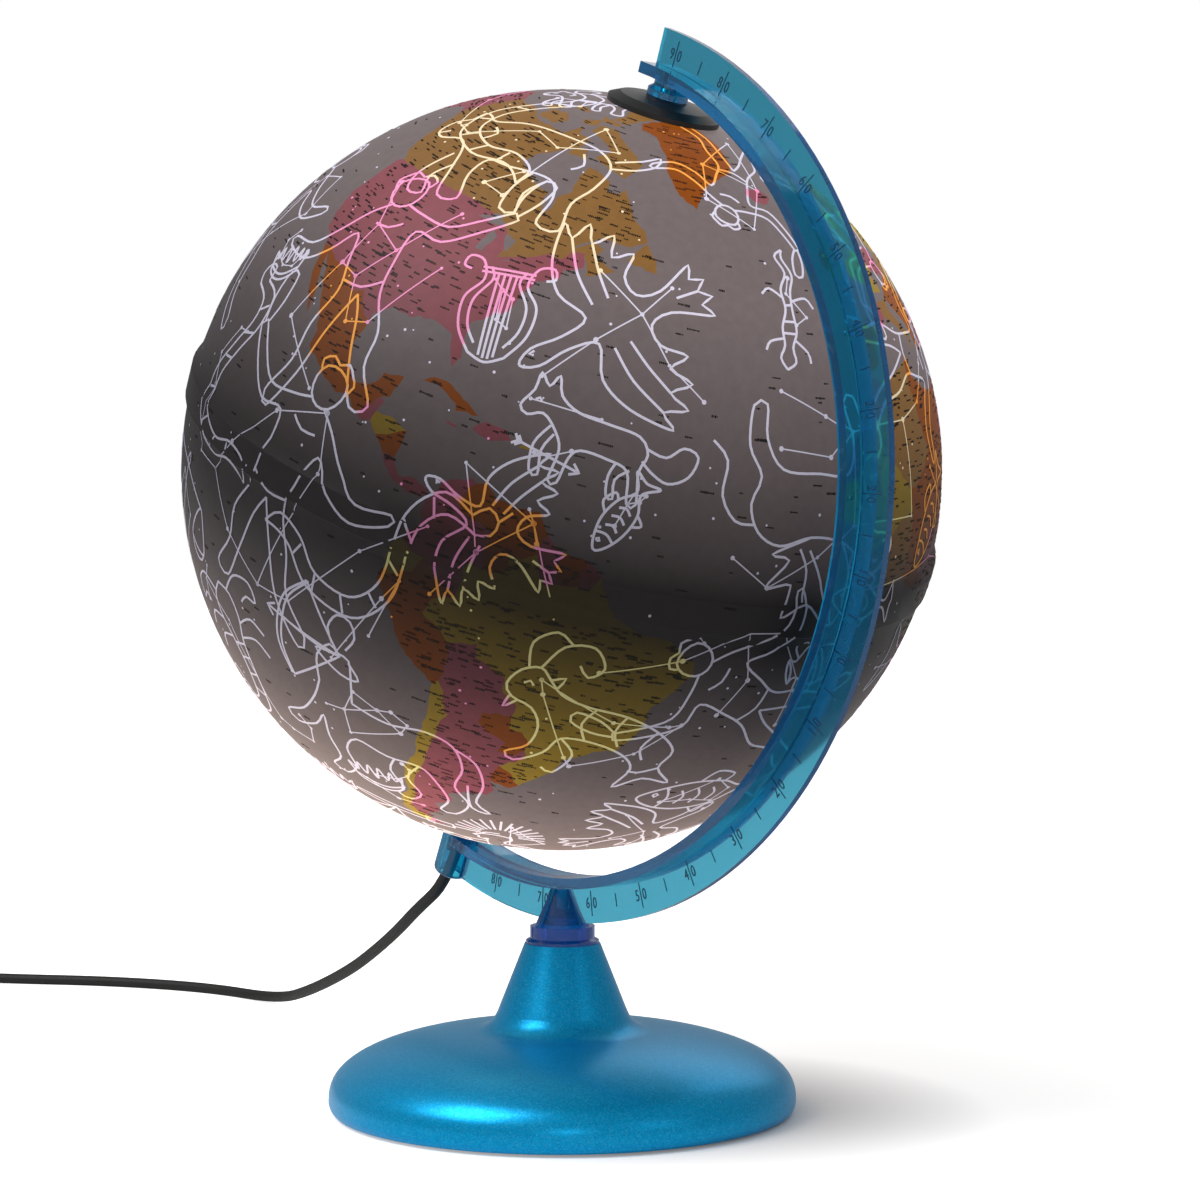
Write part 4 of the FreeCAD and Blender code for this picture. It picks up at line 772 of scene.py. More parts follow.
# Star groups: each run of points is a line of sticks, as right ascension and declination
# in degrees, with a star at every point.
STAR_STICKS = (
    "310.4 45.3, 305.6 40.3, 299 35, 292.7 28; 296.2 45.1, 305.6 40.3, 311.6 34, 318 30",
    "279.2 38.8, 281.2 37.6, 282.5 33.4, 284.7 32.7, 283.6 36.9, 281.2 37.6",
    """296.6 10.6, 297.7 8.9, 298.8 6.4; 297.7 8.9, 291.4 3.1, 286.6 -4.9; 291.4 3.1, 286.4 13.9,
    297.7 8.9, 302.8 -0.8""",
    "309.4 14.6, 309.9 15.9, 311.7 16.1, 310.9 15.1, 309.4 14.6, 308.3 11.3",
    """346.2 15.2, 345.9 28.1, 362.1 29.1, 363.3 15.2, 346.2 15.2, 340.4 10.8, 332.5 6.2, 326 9.9;
    345.9 28.1, 340.8 30.2, 331.8 33.2; 345.9 28.1, 341.6 24.6, 331.8 25.3""",
    """276 -34.4, 275.2 -29.8, 277 -25.4, 281.4 -27, 283.8 -26.3, 286.7 -27.7, 285.7 -29.9, 276 -34.4;
    275.2 -29.8, 281.4 -27, 285.7 -29.9; 275.2 -29.8, 271.5 -30.4""",
    """304.5 -12.5, 305.3 -14.8, 311.5 -25.3, 312.9 -26.9, 321.7 -22.4, 326.8 -16.1, 325 -16.7,
    316.5 -17.2, 304.5 -12.5""",
    """311.9 -9.5, 322.9 -5.6, 331.4 -0.3, 337.2 0, 343.2 -7.6, 343.7 -15.8; 331.4 -0.3, 334.2 -7.8,
    331.6 -13.9""",
    "344.4 -29.6, 340.2 -27, 332.1 -33, 337.9 -32.3, 343.1 -32.9, 344.4 -29.6",
    "328.5 -37.4, 337.3 -43.5, 340.7 -46.9, 342.1 -51.3; 332.1 -47, 337.3 -43.5",
    """309.4 -47.3, 313.7 -58.5, 320 -53.4, 309.4 -47.3; 306.4 -56.7, 311.2 -66.2, 302.2 -66.2,
    282 -62.2, 266.4 -64.7""",
    """258.7 14.4, 247.6 21.5, 250.3 31.6, 250.7 38.9, 258.8 36.8, 255 30.9, 250.3 31.6; 255 30.9,
    258.8 24.8, 262.7 26.1, 269.1 37.3; 258.8 36.8, 264.9 46; 250.7 38.9, 245 46""",
    "263.7 12.6, 265.9 4.6, 257.6 -15.7, 249.3 -10.6, 243.6 -3.7, 247.7 2, 254.4 9.4, 263.7 12.6",
    """236.1 6.4, 233.7 10.5, 236.5 15.4, 239.1 15.7; 236.1 6.4, 237.4 -3.4, 243.6 -3.7; 257.6 -15.7,
    264.4 -15.4, 275.3 -2.9, 284.1 4.2""",
    """241.4 -19.8, 240.1 -22.6, 247.4 -26.4, 252.5 -34.3, 253 -38, 254.7 -42.4, 258 -43.2, 264.3 -43,
    265.6 -39, 263.4 -37.1; 240.1 -22.6, 239.7 -26.1""",
    "222.7 -16, 229.3 -9.4, 233.9 -14.8, 226 -25.3; 222.7 -16, 226 -25.3",
    "233.2 31.4, 231.9 29.1, 233.7 26.7, 236.6 26.1, 239.4 26.9, 240.4 29.9",
    "213.9 19.2, 221.2 27.1, 228.9 33.3, 225.5 40.4, 218 38.3, 213.9 19.2; 213.9 19.2, 208.7 18.4",
    """165.9 61.8, 165.5 56.4, 178.5 53.7, 183.9 57, 165.9 61.8; 183.9 57, 193.5 56, 201 54.9,
    206.9 49.3; 178.5 53.7, 176.5 47.8, 169.6 33; 165.5 56.4, 143 51.7, 134.8 48""",
    "397.9 89.3, 263 86.6, 251.5 82, 236 77.8, 222.7 74.2, 230.2 71.8, 244 75.8, 236 77.8",
    """268.4 56.9, 262.6 52.3, 269.2 51.5, 275.3 72.7, 288 67.7, 269 64, 257 65.7, 246 61.5, 240 58.6,
    231 59, 211 64.4, 188 69.8""",
    "362.3 59.2, 370.1 56.5, 374.2 60.7, 381.5 60.2, 388.6 63.7",
    "319.6 62.6, 322.2 70.6, 354.8 77.6, 342.4 66.2, 332.7 58.2, 319.6 62.6; 322.2 70.6, 342.4 66.2",
    "362.1 29.1, 369.8 30.9, 377.4 35.6, 390.9 42.3; 337.8 50.3, 336.1 47.7, 340 44.3, 337 43",
    """31.8 23.5, 28.7 20.8, 28.4 19.3; 51.1 49.9, 46.2 53.5, 42.7 55.9; 51.1 49.9, 55.7 47.8, 59.5 40,
    58.5 31.9; 51.1 49.9, 47 41""",
    "79.2 46, 89.9 44.9, 89.9 37.2, 81.6 28.6, 74.2 33.2, 79.2 46",
    "84.4 21.1, 69 16.5, 65 15.6, 67.2 19.2, 81.6 28.6; 65 15.6, 60.2 12.5, 51 9",
    "113.6 31.9, 101 25.1, 93.7 22.5; 116.3 28, 110 22, 99.4 16.4; 113.6 31.9, 116.3 28",
    """88.8 7.4, 81.3 6.3, 83 -0.3, 84.1 -1.2, 85.2 -1.9, 88.8 7.4; 83 -0.3, 78.6 -8.2; 85.2 -1.9,
    86.9 -9.7, 78.6 -8.2; 88.8 7.4, 92 14.2; 81.3 6.3, 73.7 10""",
    """101.3 -16.7, 95.7 -18, 104.7 -23.8, 107 -26.4, 111 -29.3; 107 -26.4, 104.7 -29; 114.8 5.2,
    111.8 8.3; 83.2 -17.8, 82 -20.8, 87 -14.8""",
    """152 12, 151.8 16.8, 155 19.8, 154 23.4, 148 26, 146.5 23.8; 152 12, 168.5 15.4, 177.3 14.6,
    168.5 20.5, 155 19.8""",
    "130 18.2, 131 21.5, 131.7 28.8; 130 18.2, 124 9.2; 130 18.2, 134.6 11.9",
    "201.3 -11.2, 197.5 -5.5, 190.4 -1.4, 185 -0.7, 177.7 1.8; 190.4 -1.4, 193.9 3.4, 195.5 11",
    """141.9 -8.7, 133.8 5.9, 129.4 5.7; 141.9 -8.7, 156.5 -16.8, 162.4 -16.2, 173.2 -31.9,
    199.7 -23.2, 211.6 -26.7; 184 -17.5, 188.6 -23.4, 182.5 -22.6, 184 -17.5""",
    """186.6 -63.1, 187.8 -57.1; 183.8 -58.7, 191.9 -59.7; 219.9 -60.8, 210.9 -60.4, 204.9 -53.5,
    187 -50, 182 -50.7; 204.9 -53.5, 208.9 -47.3, 211.7 -36.4""",
    """95.9 -52.7, 125.6 -59.5, 139.3 -59.3, 140.5 -55, 131.2 -54.7, 122.4 -47.3, 120.9 -40;
    122.4 -47.3, 137 -43.4""",
    """362.4 -42.3, 376 -46.7, 382 -43.3; 384.4 -57.2, 401 -51.5, 416 -46, 404 -40, 416 -33, 430 -30,
    404 -21, 416 -9, 433.8 -5""",
    """370.9 -18, 377.1 -10.2, 381 -8.2, 394.8 -3, 405.6 4.1, 400 3.2; 377.1 -10.2, 364.9 -8.8; 390 3,
    385 9, 378 15.3, 372 21; 390 3, 375 7, 360 6, 351 5.4""",
    "84.9 -34.1, 87.7 -35.8, 95.5 -33.4; 60 -62, 69 -55, 82 -62.5, 86 -65.7; 107 -70, 130 -66",
    """252.2 -69, 229.7 -68.7, 238.8 -63.4, 252.2 -69; 335 -60.3, 349.4 -58.2, 364.4 -63; 262.8 -49.9,
    261.3 -55.5, 262.9 -60.7, 255 -53""",
    "280 -43.4, 284.7 -42, 287 -39.9, 287.4 -37.9, 286 -37; 277 -46, 284 -49, 290 -48",
    "300 19.5, 297 18, 295 18; 303 24.6, 292.2 24.7; 273 -21, 280 -8.2, 282 -4.7, 279 -14.6",
)

# Line drawings on a square ten units either way, upright and drawn for this globe. A
# semicolon ends a stroke.
DRAWINGS = {
    "runner": """0 9.6, 1.2 9.2, 1.5 8.1, 1 7, 0 6.6, -1 7, -1.5 8.1, -1.2 9.2, 0 9.6; -1.4 8.6,
    -1.9 9.3, -1.2 10, -0.4 9.8, 0.3 10.3, 1.1 9.9, 1.7 9.4, 1.5 8.5; -0.8 6.8, -2.4 6, -5 5.2,
    -7.5 6.4, -9.4 7.6, -9.8 7, -7.6 5.2, -5 3.8, -2.6 4.4, -2 1.6, -1.9 -1, -2.8 -4, -2.4 -6.6,
    -3.4 -9.4, -1.8 -9.6, -1 -6.2, -0.6 -3, 0 -1.2; 0.8 6.8, 2.4 6, 4.6 4.4, 7 3.4, 9.6 4.4, 9.8 3.6,
    7.2 2, 4.6 2.6, 2.5 4, 2.1 1.4, 2 -1, 3.6 -3.6, 4.6 -6.4, 7 -8.6, 6.6 -9.8, 3.8 -7.4, 1.8 -4,
    0 -1.2; -1.9 0, 0 -0.6, 2 0; -1.2 5, 0 4.6, 1.3 5; -9.6 7.3, -10.6 9, -11 11, -10 11.4, -9.2 9.4,
    -9.2 7.6""",
    "archer": """-2 1, 1 0.6, 4 1.2, 6.2 0.4, 7 -2, 6.4 -4.6, 7.4 -7, 6.2 -9.4, 5 -9.2, 5.8 -7,
    4.8 -4.4, 3.6 -3.2, 1 -3.4, -1.6 -3, -2.6 -5, -2 -7.4, -3.2 -9.6, -4.4 -9.2, -3.4 -7, -4.2 -4.6,
    -4.6 -2.2, -5.4 -4, -7.4 -5.6, -8.4 -4.8, -6.6 -3, -5.4 -0.4, -5 1.6; 3.6 -3.2, 2.6 -5.4, 3.6 -7.4,
    2.6 -9, 1.6 -8.6, 2.2 -7.2, 1.2 -5.2, 1.6 -3.4; 6.4 0.2, 8 -1, 8.6 -3.6, 8 -6.4, 9 -8, 7.6 -7.4,
    7.4 -4; -5 1.6, -5.4 4, -4.4 5.6, -3.6 5.2, -2.6 5, -2.2 3, -2 1; -4.2 5.8, -4.8 7, -4.2 8.4,
    -3 8.4, -2.4 7.2, -3 5.8; -4.8 4.8, -7 5, -9 5.2; -2.6 4.8, -1.6 3.6, -3.2 3.4, -5.6 4.6, -3.4 5;
    -7.4 9.6, -9.2 7.4, -9.6 5, -9.2 2.6, -7.6 0.4; -7.2 9.6, -8.8 7.4, -9.1 5, -8.8 2.6, -7.4 0.4|
    -7.4 9.6, -3.4 5, -7.4 0.4| -3.4 5, -10.6 5.2| -10 5.8, -10.8 5.2, -10 4.6""",
    "winged horse": """-9 4, -8.2 5.6, -6.6 6.4, -5.4 7.4, -5.2 6.2, -4 4.6, -2 3, 1 2.4, 4 2.8, 6 1.6,
    6.6 -0.6, 5.6 -2.6, 6.4 -5, 5.6 -8, 4.4 -8, 4.8 -5.4, 3.6 -3, 0 -2.4, -2.6 -2.2, -3.4 -4.6,
    -2.8 -7.6, -4 -8, -4.8 -4.8, -4.6 -1.6, -5.6 0.6, -6.6 2.6, -8.4 3, -9 4; -5.2 7, -4 6.4, -4.4 5.4,
    -3 5, -3.4 4; 6.4 1, 8 0.6, 9 -1.4, 8.4 -4, 9.4 -5.6; -2 3, -3 6, -1.4 9.4, 1 7.6, 3.4 8.4, 2.6 6,
    5 6, 3 4, 4.6 3.4, 1 2.4; -1.4 9.4, -0.4 6, 1 3.4; 1.4 7.4, 1.2 5, 2 3.2; -4.8 -3, -6.6 -4,
    -6 -6.6, -7 -7, -7.8 -4, -5.4 -1.6; -7.4 5, -7 5.2, -6.8 4.9; -8.8 3.6, -8 3.6""",
    "bird": """0 10, 0.8 8.6, 0.6 6, 1.2 3.6, 4 4.6, 7 3.6, 9.8 1, 8.2 1.2, 8.8 -0.8, 7 0, 7 -2,
    5.2 -0.8, 4.8 -2.6, 3.2 -0.9, 1.4 -1, 1 -3, 2.4 -6.4, 1.2 -5.8, 0.8 -7, 0 -6, -0.8 -7, -1.2 -5.8,
    -2.4 -6.4, -1 -3, -1.4 -1, -3.2 -0.9, -4.8 -2.6, -5.2 -0.8, -7 -2, -7 0, -8.8 -0.8, -8.2 1.2,
    -9.8 1, -7 3.6, -4 4.6, -1.2 3.6, -0.6 6, -0.8 8.6, 0 10; 2 2.6, 5 2.4, 8.2 1.2; -2 2.6, -5 2.4,
    -8.2 1.2; 2 1.2, 4.4 0.8, 7 0; -2 1.2, -4.4 0.8, -7 0; 0 -4, 0 -6; 0.2 8.6, 0.45 8.9, 0.5 8.4""",
    "fish": """-10 0, -7.6 2, -3 3.4, 2 2.8, 6 0.6, 9.6 3.4, 8.8 0, 9.6 -3.4, 6 -0.6, 2 -2.8, -3 -3.2,
    -7.6 -2, -10 0; -6.4 2.4, -5.6 0, -6.4 -2.4; -8 0.8, -7.6 1.2, -7.2 0.8, -7.6 0.3, -8 0.8; -2 3.4,
    0 5.4, 3 4.2, 2 2.8; -1 -3.1, 0.6 -5, 2 -2.8; -4 1.6, -3.2 0, -4 -1.6; -1.6 1.8, -0.8 0, -1.6 -1.8;
    0.8 1.6, 1.6 0, 0.8 -1.6""",
    "sea goat": """-9.4 2.6, -8.6 4.4, -7 5.2, -5.8 4.2, -4.4 3, -2 2.4, 2 2, 5.4 0.6, 7.6 -1.6, 7 -4,
    8.8 -6.2, 6 -5.6, 3.6 -7.2, 4.4 -4.4, 3 -2.6, 0 -1.6, -3 -1.8, -4 -4, -6.2 -6, -7.2 -5.2,
    -5.6 -3.6, -5.4 -1, -6.6 0.8, -8.6 1.4, -9.4 2.6; -7 5.2, -5.6 7.8, -3 8.4, -1.6 6.6, -2.8 5.4,
    -3.8 6.4; -8 4.8, -8.4 7.4, -6.6 9, -5 8.2; -3 -1.8, -1.4 -3.6, -2.4 -6.4, -3.6 -6; -8 3.2,
    -7.5 3.6, -7.1 3.2; 5.4 0.6, 4.4 -1.4, 5 -3; 2 2, 1.4 0.2, 2.2 -1.6; -8.8 1.4, -9 0, -8 1.2;
    -5.8 4.2, -4.6 4.8, -5 3.6; -1 2.2, -1.8 0.4, -1 -1.4; 7 -4, 5.2 -4.8, 4.2 -4.6""",
    "lyre": """-3 -8, -5.6 -4, -6 1, -3.6 4.6, -4.6 8, -7 8.6, -7.6 6.8, -6.2 6.2; 3 -8, 5.6 -4, 6 1,
    3.6 4.6, 4.6 8, 7 8.6, 7.6 6.8, 6.2 6.2; -3 -8, 0 -9.2, 3 -8; -2.4 -6.4, -4.2 -3.4, -4.4 0.8,
    -2.2 4.8, -3 7; 2.4 -6.4, 4.2 -3.4, 4.4 0.8, 2.2 4.8, 3 7| -4.4 6, 4.4 6| -4.4 6.8, 4.4 6.8|
    -1.5 6, -1.2 -8.2| -0.5 6, -0.4 -8.6| 0.5 6, 0.4 -8.6| 1.5 6, 1.2 -8.2""",
    "snake": """-10 3, -8 5, -5 4, -3 1, -1 -2, 2 -3, 5 -1, 6 2, 8 4, 10 3.4; -10 1.4, -8 3.2,
    -5.8 2.6, -4 0, -1.8 -3.4, 2.2 -4.8, 6.2 -2.2, 7.4 1.2, 8.6 2.6, 10 3.4; -10 3, -11.4 3.4, -12 2.2,
    -11.2 1.2, -10 1.4; -12 2.2, -13.2 2.8; -7 4.7, -6.8 3| -4.4 3.2, -4.8 1.4| -2.4 0, -3 -1.4|
    0 -2.6, -0.4 -4| 2.8 -2.8, 3 -4.4| 5 -1, 5.8 -2.6| 6 1.4, 7.2 0.6""",
    "bear": """-9.6 2, -9 3.6, -7.6 4.2, -7.2 5.6, -6.2 5, -5 4, -2 4.4, 2 4, 5.4 3.6, 7.4 2, 7.6 -1,
    7 -3.6, 7.6 -6.6, 5.6 -6.8, 5.4 -3.8, 4 -2, 0 -2, -2 -1.8, -2.6 -4, -2 -6.8, -4 -6.8, -4.6 -3.6,
    -5.2 -1, -6.4 0.6, -8.6 0.8, -9.6 2; -4.6 -3, -6 -4.8, -5.6 -6.8, -7.2 -6.6, -7.4 -4.4, -5.6 -1.6;
    4 -2.2, 3 -4.4, 3.4 -6.6, 2 -6.6, 1.8 -4, 2.4 -2; 7.4 2, 9 3.2, 10 5, 9.6 6.4, 8.8 4.8, 7.2 3;
    -8 2.8, -7.6 3.2, -7.3 2.8; -9.4 1.6, -8.4 1.9; -4.4 3, -3.6 2, -4.4 1; 4.6 2.4, 5.4 1, 4.8 0""",
    "fox": """-9.6 1, -8.6 3, -8.4 5, -7.2 3.8, -6.4 5.2, -5.6 3.2, -3.4 2, 0 1.8, 3.6 1.6, 5 0,
    4.6 -2, 5.4 -5.4, 4.4 -5.6, 3.4 -2.4, 1 -1.8, -2 -1.8, -3 -3, -3.4 -5.8, -4.4 -5.8, -4.2 -2.4,
    -5.4 -0.4, -7 0.8, -8.6 0.2, -9.6 1; 4.8 0.6, 7 0.4, 8.6 2, 10.4 1.6, 10 -0.8, 8 -2.2, 5.8 -1.6,
    4.6 -0.8; -5.2 -1, -6 -3, -5.6 -5.6, -6.6 -5.4, -7 -2.6, -5.8 -0.2; 3.6 -2.2, 2.4 -3.6, 2.8 -5.6,
    2 -5.4, 1.6 -3.4, 2 -1.8; -8.2 2, -7.8 2.3, -7.5 2""",
    "bull": """-8.6 -1, -9.4 1, -8.6 3, -7 3.4, -6.4 2.4, -4 3.6, 0 3.2, 4 3.4, 7 2.4, 7.8 0, 7 -2.4,
    7.4 -6.6, 6.2 -6.8, 5.6 -3.6, 3 -2.6, -1 -3, -3.4 -3.2, -3.8 -5, -6 -6.8, -6.8 -6, -5.2 -4,
    -5.2 -1.6, -6.6 -0.6, -7.4 -1.8, -8.6 -1; -8.6 3, -10 5, -9.4 7; -7 3.4, -6.6 5.6, -7.6 7; 7.4 1.6,
    9 0.6, 9 -2, 9.8 -3.4; -3.4 -3, -2 -5, -2.6 -6.8, -1.4 -6.8, -0.8 -4.6, -1.4 -3; 5.4 -3.4, 4.2 -5,
    4.6 -6.8, 3.4 -6.8, 3 -4.6, 3.4 -2.8; -8 1.6, -7.6 1.9, -7.3 1.6""",
    "scorpion": """0 8, 2 7, 2.6 4.6, 1.6 2, 1 -1, 0 -4, -2 -6.6, -5 -7.4, -7.4 -5.8, -7.6 -3.2, -6 -2,
    -5.2 -3.4; 0 8, -1.6 6.6, -1.8 4.6, -0.8 2, -0.6 -0.6, -1.4 -3, -3 -5, -5 -5.6, -6.2 -4.6; 1.6 7.4,
    4 9, 6.6 8.4, 7 6.4, 5.6 7, 4.4 6.4; -1.4 7, -4 8.4, -6.4 7.4, -6.4 5.4, -5.2 6.2, -4 5.4; 2.4 4,
    5 4.6, 6.6 3; 1.8 2.4, 4.6 2.4, 6 0.6; -1.6 4, -4.2 4.4, -5.6 2.8; -1 2.2, -3.6 2, -4.8 0.4|
    -0.8 1.6, 1.5 1.6| -0.6 0, 1.2 0| -1 -2, 0.7 -2| -2 -3.8, -0.4 -4.6""",
    "ship": """-9 0, -8 -4, -4 -6, 4 -6, 8 -4, 10 1, 7.4 -0.4, -6 -0.6, -9 0; 0 -0.6, 0 9; -5 7.6,
    0 8.4, 5 7.6, 4.2 4, 5.4 1, 0 1.8, -5.4 1, -4.2 4, -5 7.6; 0 9, 3 9.8, 2.4 8.8; -8.4 -2.4,
    8.6 -2.4| -6 -3.4, -7.4 -7.6| -3 -3.8, -4.2 -8| 0 -4, -1 -8| 3 -3.8, 2.2 -8| 6 -3.4, 5.4 -7.6""",
    "urn": """-3 6, -2 4.4, -4.4 1, -4 -3, -2 -6, 2 -6, 4 -3, 4.4 1, 2 4.4, 3 6, 0 6.6, -3 6, 0 5.4,
    3 6; -2.4 3.6, -5.4 4.4, -6 2, -4.4 0.6; 2.4 3.6, 5.4 4.4, 6 2, 4.4 0.6; -4.2 -1, 0 -1.8, 4.2 -1;
    -4.5 0.6, 0 -0.2, 4.5 0.6""",
    "scales": """-8 6, 0 7, 8 6; 0 9, -0.6 7.8, 0 7, 0.6 7.8, 0 9; -8 6, -10.4 0, -5.6 0, -8 6; 8 6,
    10.4 0, 5.6 0, 8 6; -10.4 0, -9.6 -1.6, -8 -2.2, -6.4 -1.6, -5.6 0; 10.4 0, 9.6 -1.6, 8 -2.2,
    6.4 -1.6, 5.6 0; 0 7, 0 -6; -2 -6, 2 -6""",
    "crown": """-7 0, -6 -3, -3 -5, 0 -5.6, 3 -5, 6 -3, 7 0, 7.6 3, 5.4 0.6, 4.6 4, 3 0, 1.4 4.4,
    0 -0.6, -1.4 4.4, -3 0, -4.6 4, -5.4 0.6, -7.6 3, -7 0; -6.4 -1.6, -3 -3.4, 0 -4, 3 -3.4, 6.4 -1.6""",
    "spyglass": """-9 -3, 3 2.4, 2.2 4.2, -9.6 -1.4, -9 -3| 3.4 1.8, 8 4, 7 6.2, 2 4.8, 3.4 1.8|
    -3 0.4, -6 -8| -3 0.4, -2.6 -8.4| -3 0.4, 1.4 -7.4""",
    "lizard": """-9 1, -7.6 2.2, -5.6 1.6, -3 2, 0 1.4, 3 2, 6 1, 8.4 2.4, 10 1; -9 1, -7.6 -0.4,
    -5.6 0.2, -3 -0.4, 0 0.2, 3 0.4, 6 -0.2, 8.4 1.2, 10 1; -4.6 1.8, -5.6 4, -7 4.6; -4.4 -0.2,
    -5.6 -2.4, -7 -3; 1.6 1.6, 2.6 4, 1.4 5.2; 1.6 0.2, 2.8 -2.2, 1.6 -3.6| -2 1.8, -1.6 0| 0.6 1.4,
    1 0.2| -3.8 1.9, -3.4 -0.2""",
    "plumed head": """0 3, -1.8 2.6, -2.6 1, -3.4 0, -2.6 -0.4, -2.6 -1.6, -1.4 -2.2, -1.4 -3.4;
    1.4 2.4, 1.8 0, 1 -2, 1.2 -3.6; -1.4 -3.4, -4.6 -4.6, -7 -4, -9.6 -5; 1.2 -3.6, 4 -4.4, 5.6 -6.6,
    8.8 -7.4; -4.6 -4.6, -3.4 -6.4, -3.8 -9; 4 -4.4, 2.4 -6.6, 3 -9.4; -2.4 1.4, 0 2, 1.6 1.4""",
    "crab": """-5 0, -3.6 3, 0 4, 3.6 3, 5 0, 3.4 -3, 0 -3.8, -3.4 -3, -5 0; -4 2.4, -6.4 4.6,
    -5.6 7.4, -4 6.4, -4.4 5, -3 3.4; 4 2.4, 6.4 4.6, 5.6 7.4, 4 6.4, 4.4 5, 3 3.4; -5 0.6, -7.4 1,
    -8.4 -0.8; 5 0.6, 7.4 1, 8.4 -0.8; -4.6 -1.4, -6.8 -2, -7.2 -4; 4.6 -1.4, 6.8 -2, 7.2 -4; -3.4 -3,
    -4.4 -5, -3.8 -6.4; 3.4 -3, 4.4 -5, 3.8 -6.4""",
    "arrow": """-9 0, 9 0| 7 1.6, 9.4 0, 7 -1.6| -9 0, -10.4 1.4| -9 0, -10.4 -1.4| -8 0, -9.4 1.4|
    -8 0, -9.4 -1.4""",
}

# Where each drawing stands in the sky: right ascension and declination of its middle,
# its turn anticlockwise in degrees, its half size in degrees of sky, and whether it is
# mirrored.
SKY = (
    ("bear", 262, 60, 12, 17, False), ("snake", 244, 66, -50, 16, False),
    ("bear", 165, 56, 186, 20, True), ("bear", 228, 79, 60, 8, False),
    ("runner", 257, 31, 20, 19, True), ("runner", 258, 0, -14, 20, False),
    ("snake", 240, 8, -60, 15, False), ("snake", 276, -4, 24, 17, True),
    ("lyre", 282, 35, 10, 8.5, False), ("bird", 304, 40, 128, 17, False),
    ("fox", 304, 22, -4, 12.5, False), ("bird", 294, 6, 70, 13, False),
    ("fish", 309, 13, 64, 6, False), ("arrow", 297, 18, -12, 5, False),
    ("winged horse", 340, 18, 186, 18, False), ("lizard", 337, 45, 78, 10, False),
    ("archer", 281, -30, -2, 19, False), ("crown", 280, -44, 10, 6, False),
    ("sea goat", 315, -19, 0, 15.5, False), ("runner", 337, -12, 62, 17, False),
    ("urn", 345, -5, 110, 7, False), ("fish", 340, -31, 10, 11, False),
    ("bird", 334, -45, -40, 14, False), ("plumed head", 309, -55, 8, 11, False),
    ("spyglass", 285, -56, -24, 8, False), ("bird", 288, -66, 160, 10, False),
    ("scorpion", 250, -32, 20, 15, False), ("scales", 229, -15, -20, 11, False),
    ("runner", 215, 28, 8, 17, False), ("crown", 237, 27, 20, 5.5, False),
    ("runner", 196, -3, 74, 19, True), ("bear", 157, 16, 180, 15, True),
    ("crab", 130, 19, 0, 9, False), ("runner", 110, 24, -24, 14, False),
    ("runner", 101, 21, -12, 13, True), ("bull", 70, 17, 8, 17, True),
    ("runner", 83, 1, -6, 18, False), ("fox", 103, -22, 70, 12, False),
    ("fox", 114, 6, 0, 7, False), ("fox", 84, -19, 180, 8, True),
    ("runner", 79, 41, 10, 14, False), ("runner", 55, 44, 40, 15, False),
    ("bull", 38, 20, 0, 10, False), ("fish", 373, 14, 50, 9, False),
    ("fish", 352, 4, -8, 8, False), ("fish", 384, -10, 172, 18, False),
    ("runner", 371, 38, -100, 16, False), ("runner", 374, 60, 200, 13, True),
    ("runner", 335, 69, 150, 12, False), ("snake", 60, -28, -72, 18, False),
    ("ship", 125, -45, 0, 20, False), ("snake", 160, -20, -8, 20, True),
    ("urn", 170, -16, 20, 7, False), ("bird", 187, -19, 40, 8, False),
    ("archer", 203, -46, 8, 18, False), ("fox", 232, -43, 200, 9, False),
    ("crown", 262, -54, 0, 6, True), ("bird", 366, -48, 10, 12, False),
    ("fish", 76, -60, -30, 8, False), ("bird", 355, -64, 200, 9, False),
    ("fish", 118, -69, 30, 6, False), ("bird", 87, -35, 70, 7, False),
    ("lizard", 160, -78, 0, 6, False), ("arrow", 250, -77, 30, 5, False),
)


# How far round from the arm's plane the map's zero meridian stands, in degrees.
MERIDIAN_TURN = 18.0
# Heights up the axis of the northern half's rim: its lower edge, where its slope ends, where
# its straight band ends, and where it has run back into the ball.
RIM_LOW, RIM_SOFT, RIM_TOP, RIM_END = -4.0 * MM, -1.6 * MM, 8.0 * MM, 12.0 * MM
RIM_LIP = 0.35 * MM
RIM_RADIUS = 126.3 * MM


def read_strokes(text: str) -> list[list[list[tuple[float, float]]]]:
    """Reads written points: smooth strokes end at semicolons, straight ones at bars.

    Args:
        text: Pairs of numbers with a comma between points.

    Returns:
        Two lists of strokes: those to be smoothed, and those that stay straight.
    """
    smooth_ones, straight_ones = [], []
    for group in text.split(";"):
        for i, run in enumerate(group.split("|")):
            points = [tuple(float(n) for n in pair.split()) for pair in run.split(",")]
            (smooth_ones if i == 0 else straight_ones).append(points)
    return [smooth_ones, straight_ones]


def sky_direction(lon: float, lat: float) -> Vector:
    """Points from the ball's centre to a longitude and latitude.

    Args:
        lon: Degrees east.
        lat: Degrees north.

    Returns:
        The direction, one long.
    """
    angle, rise = math.radians(lon + MERIDIAN_TURN), math.radians(lat)
    flat = OUTWARD * math.cos(angle) + ACROSS * math.sin(angle)
    return flat * math.cos(rise) + AXIS * math.sin(rise)


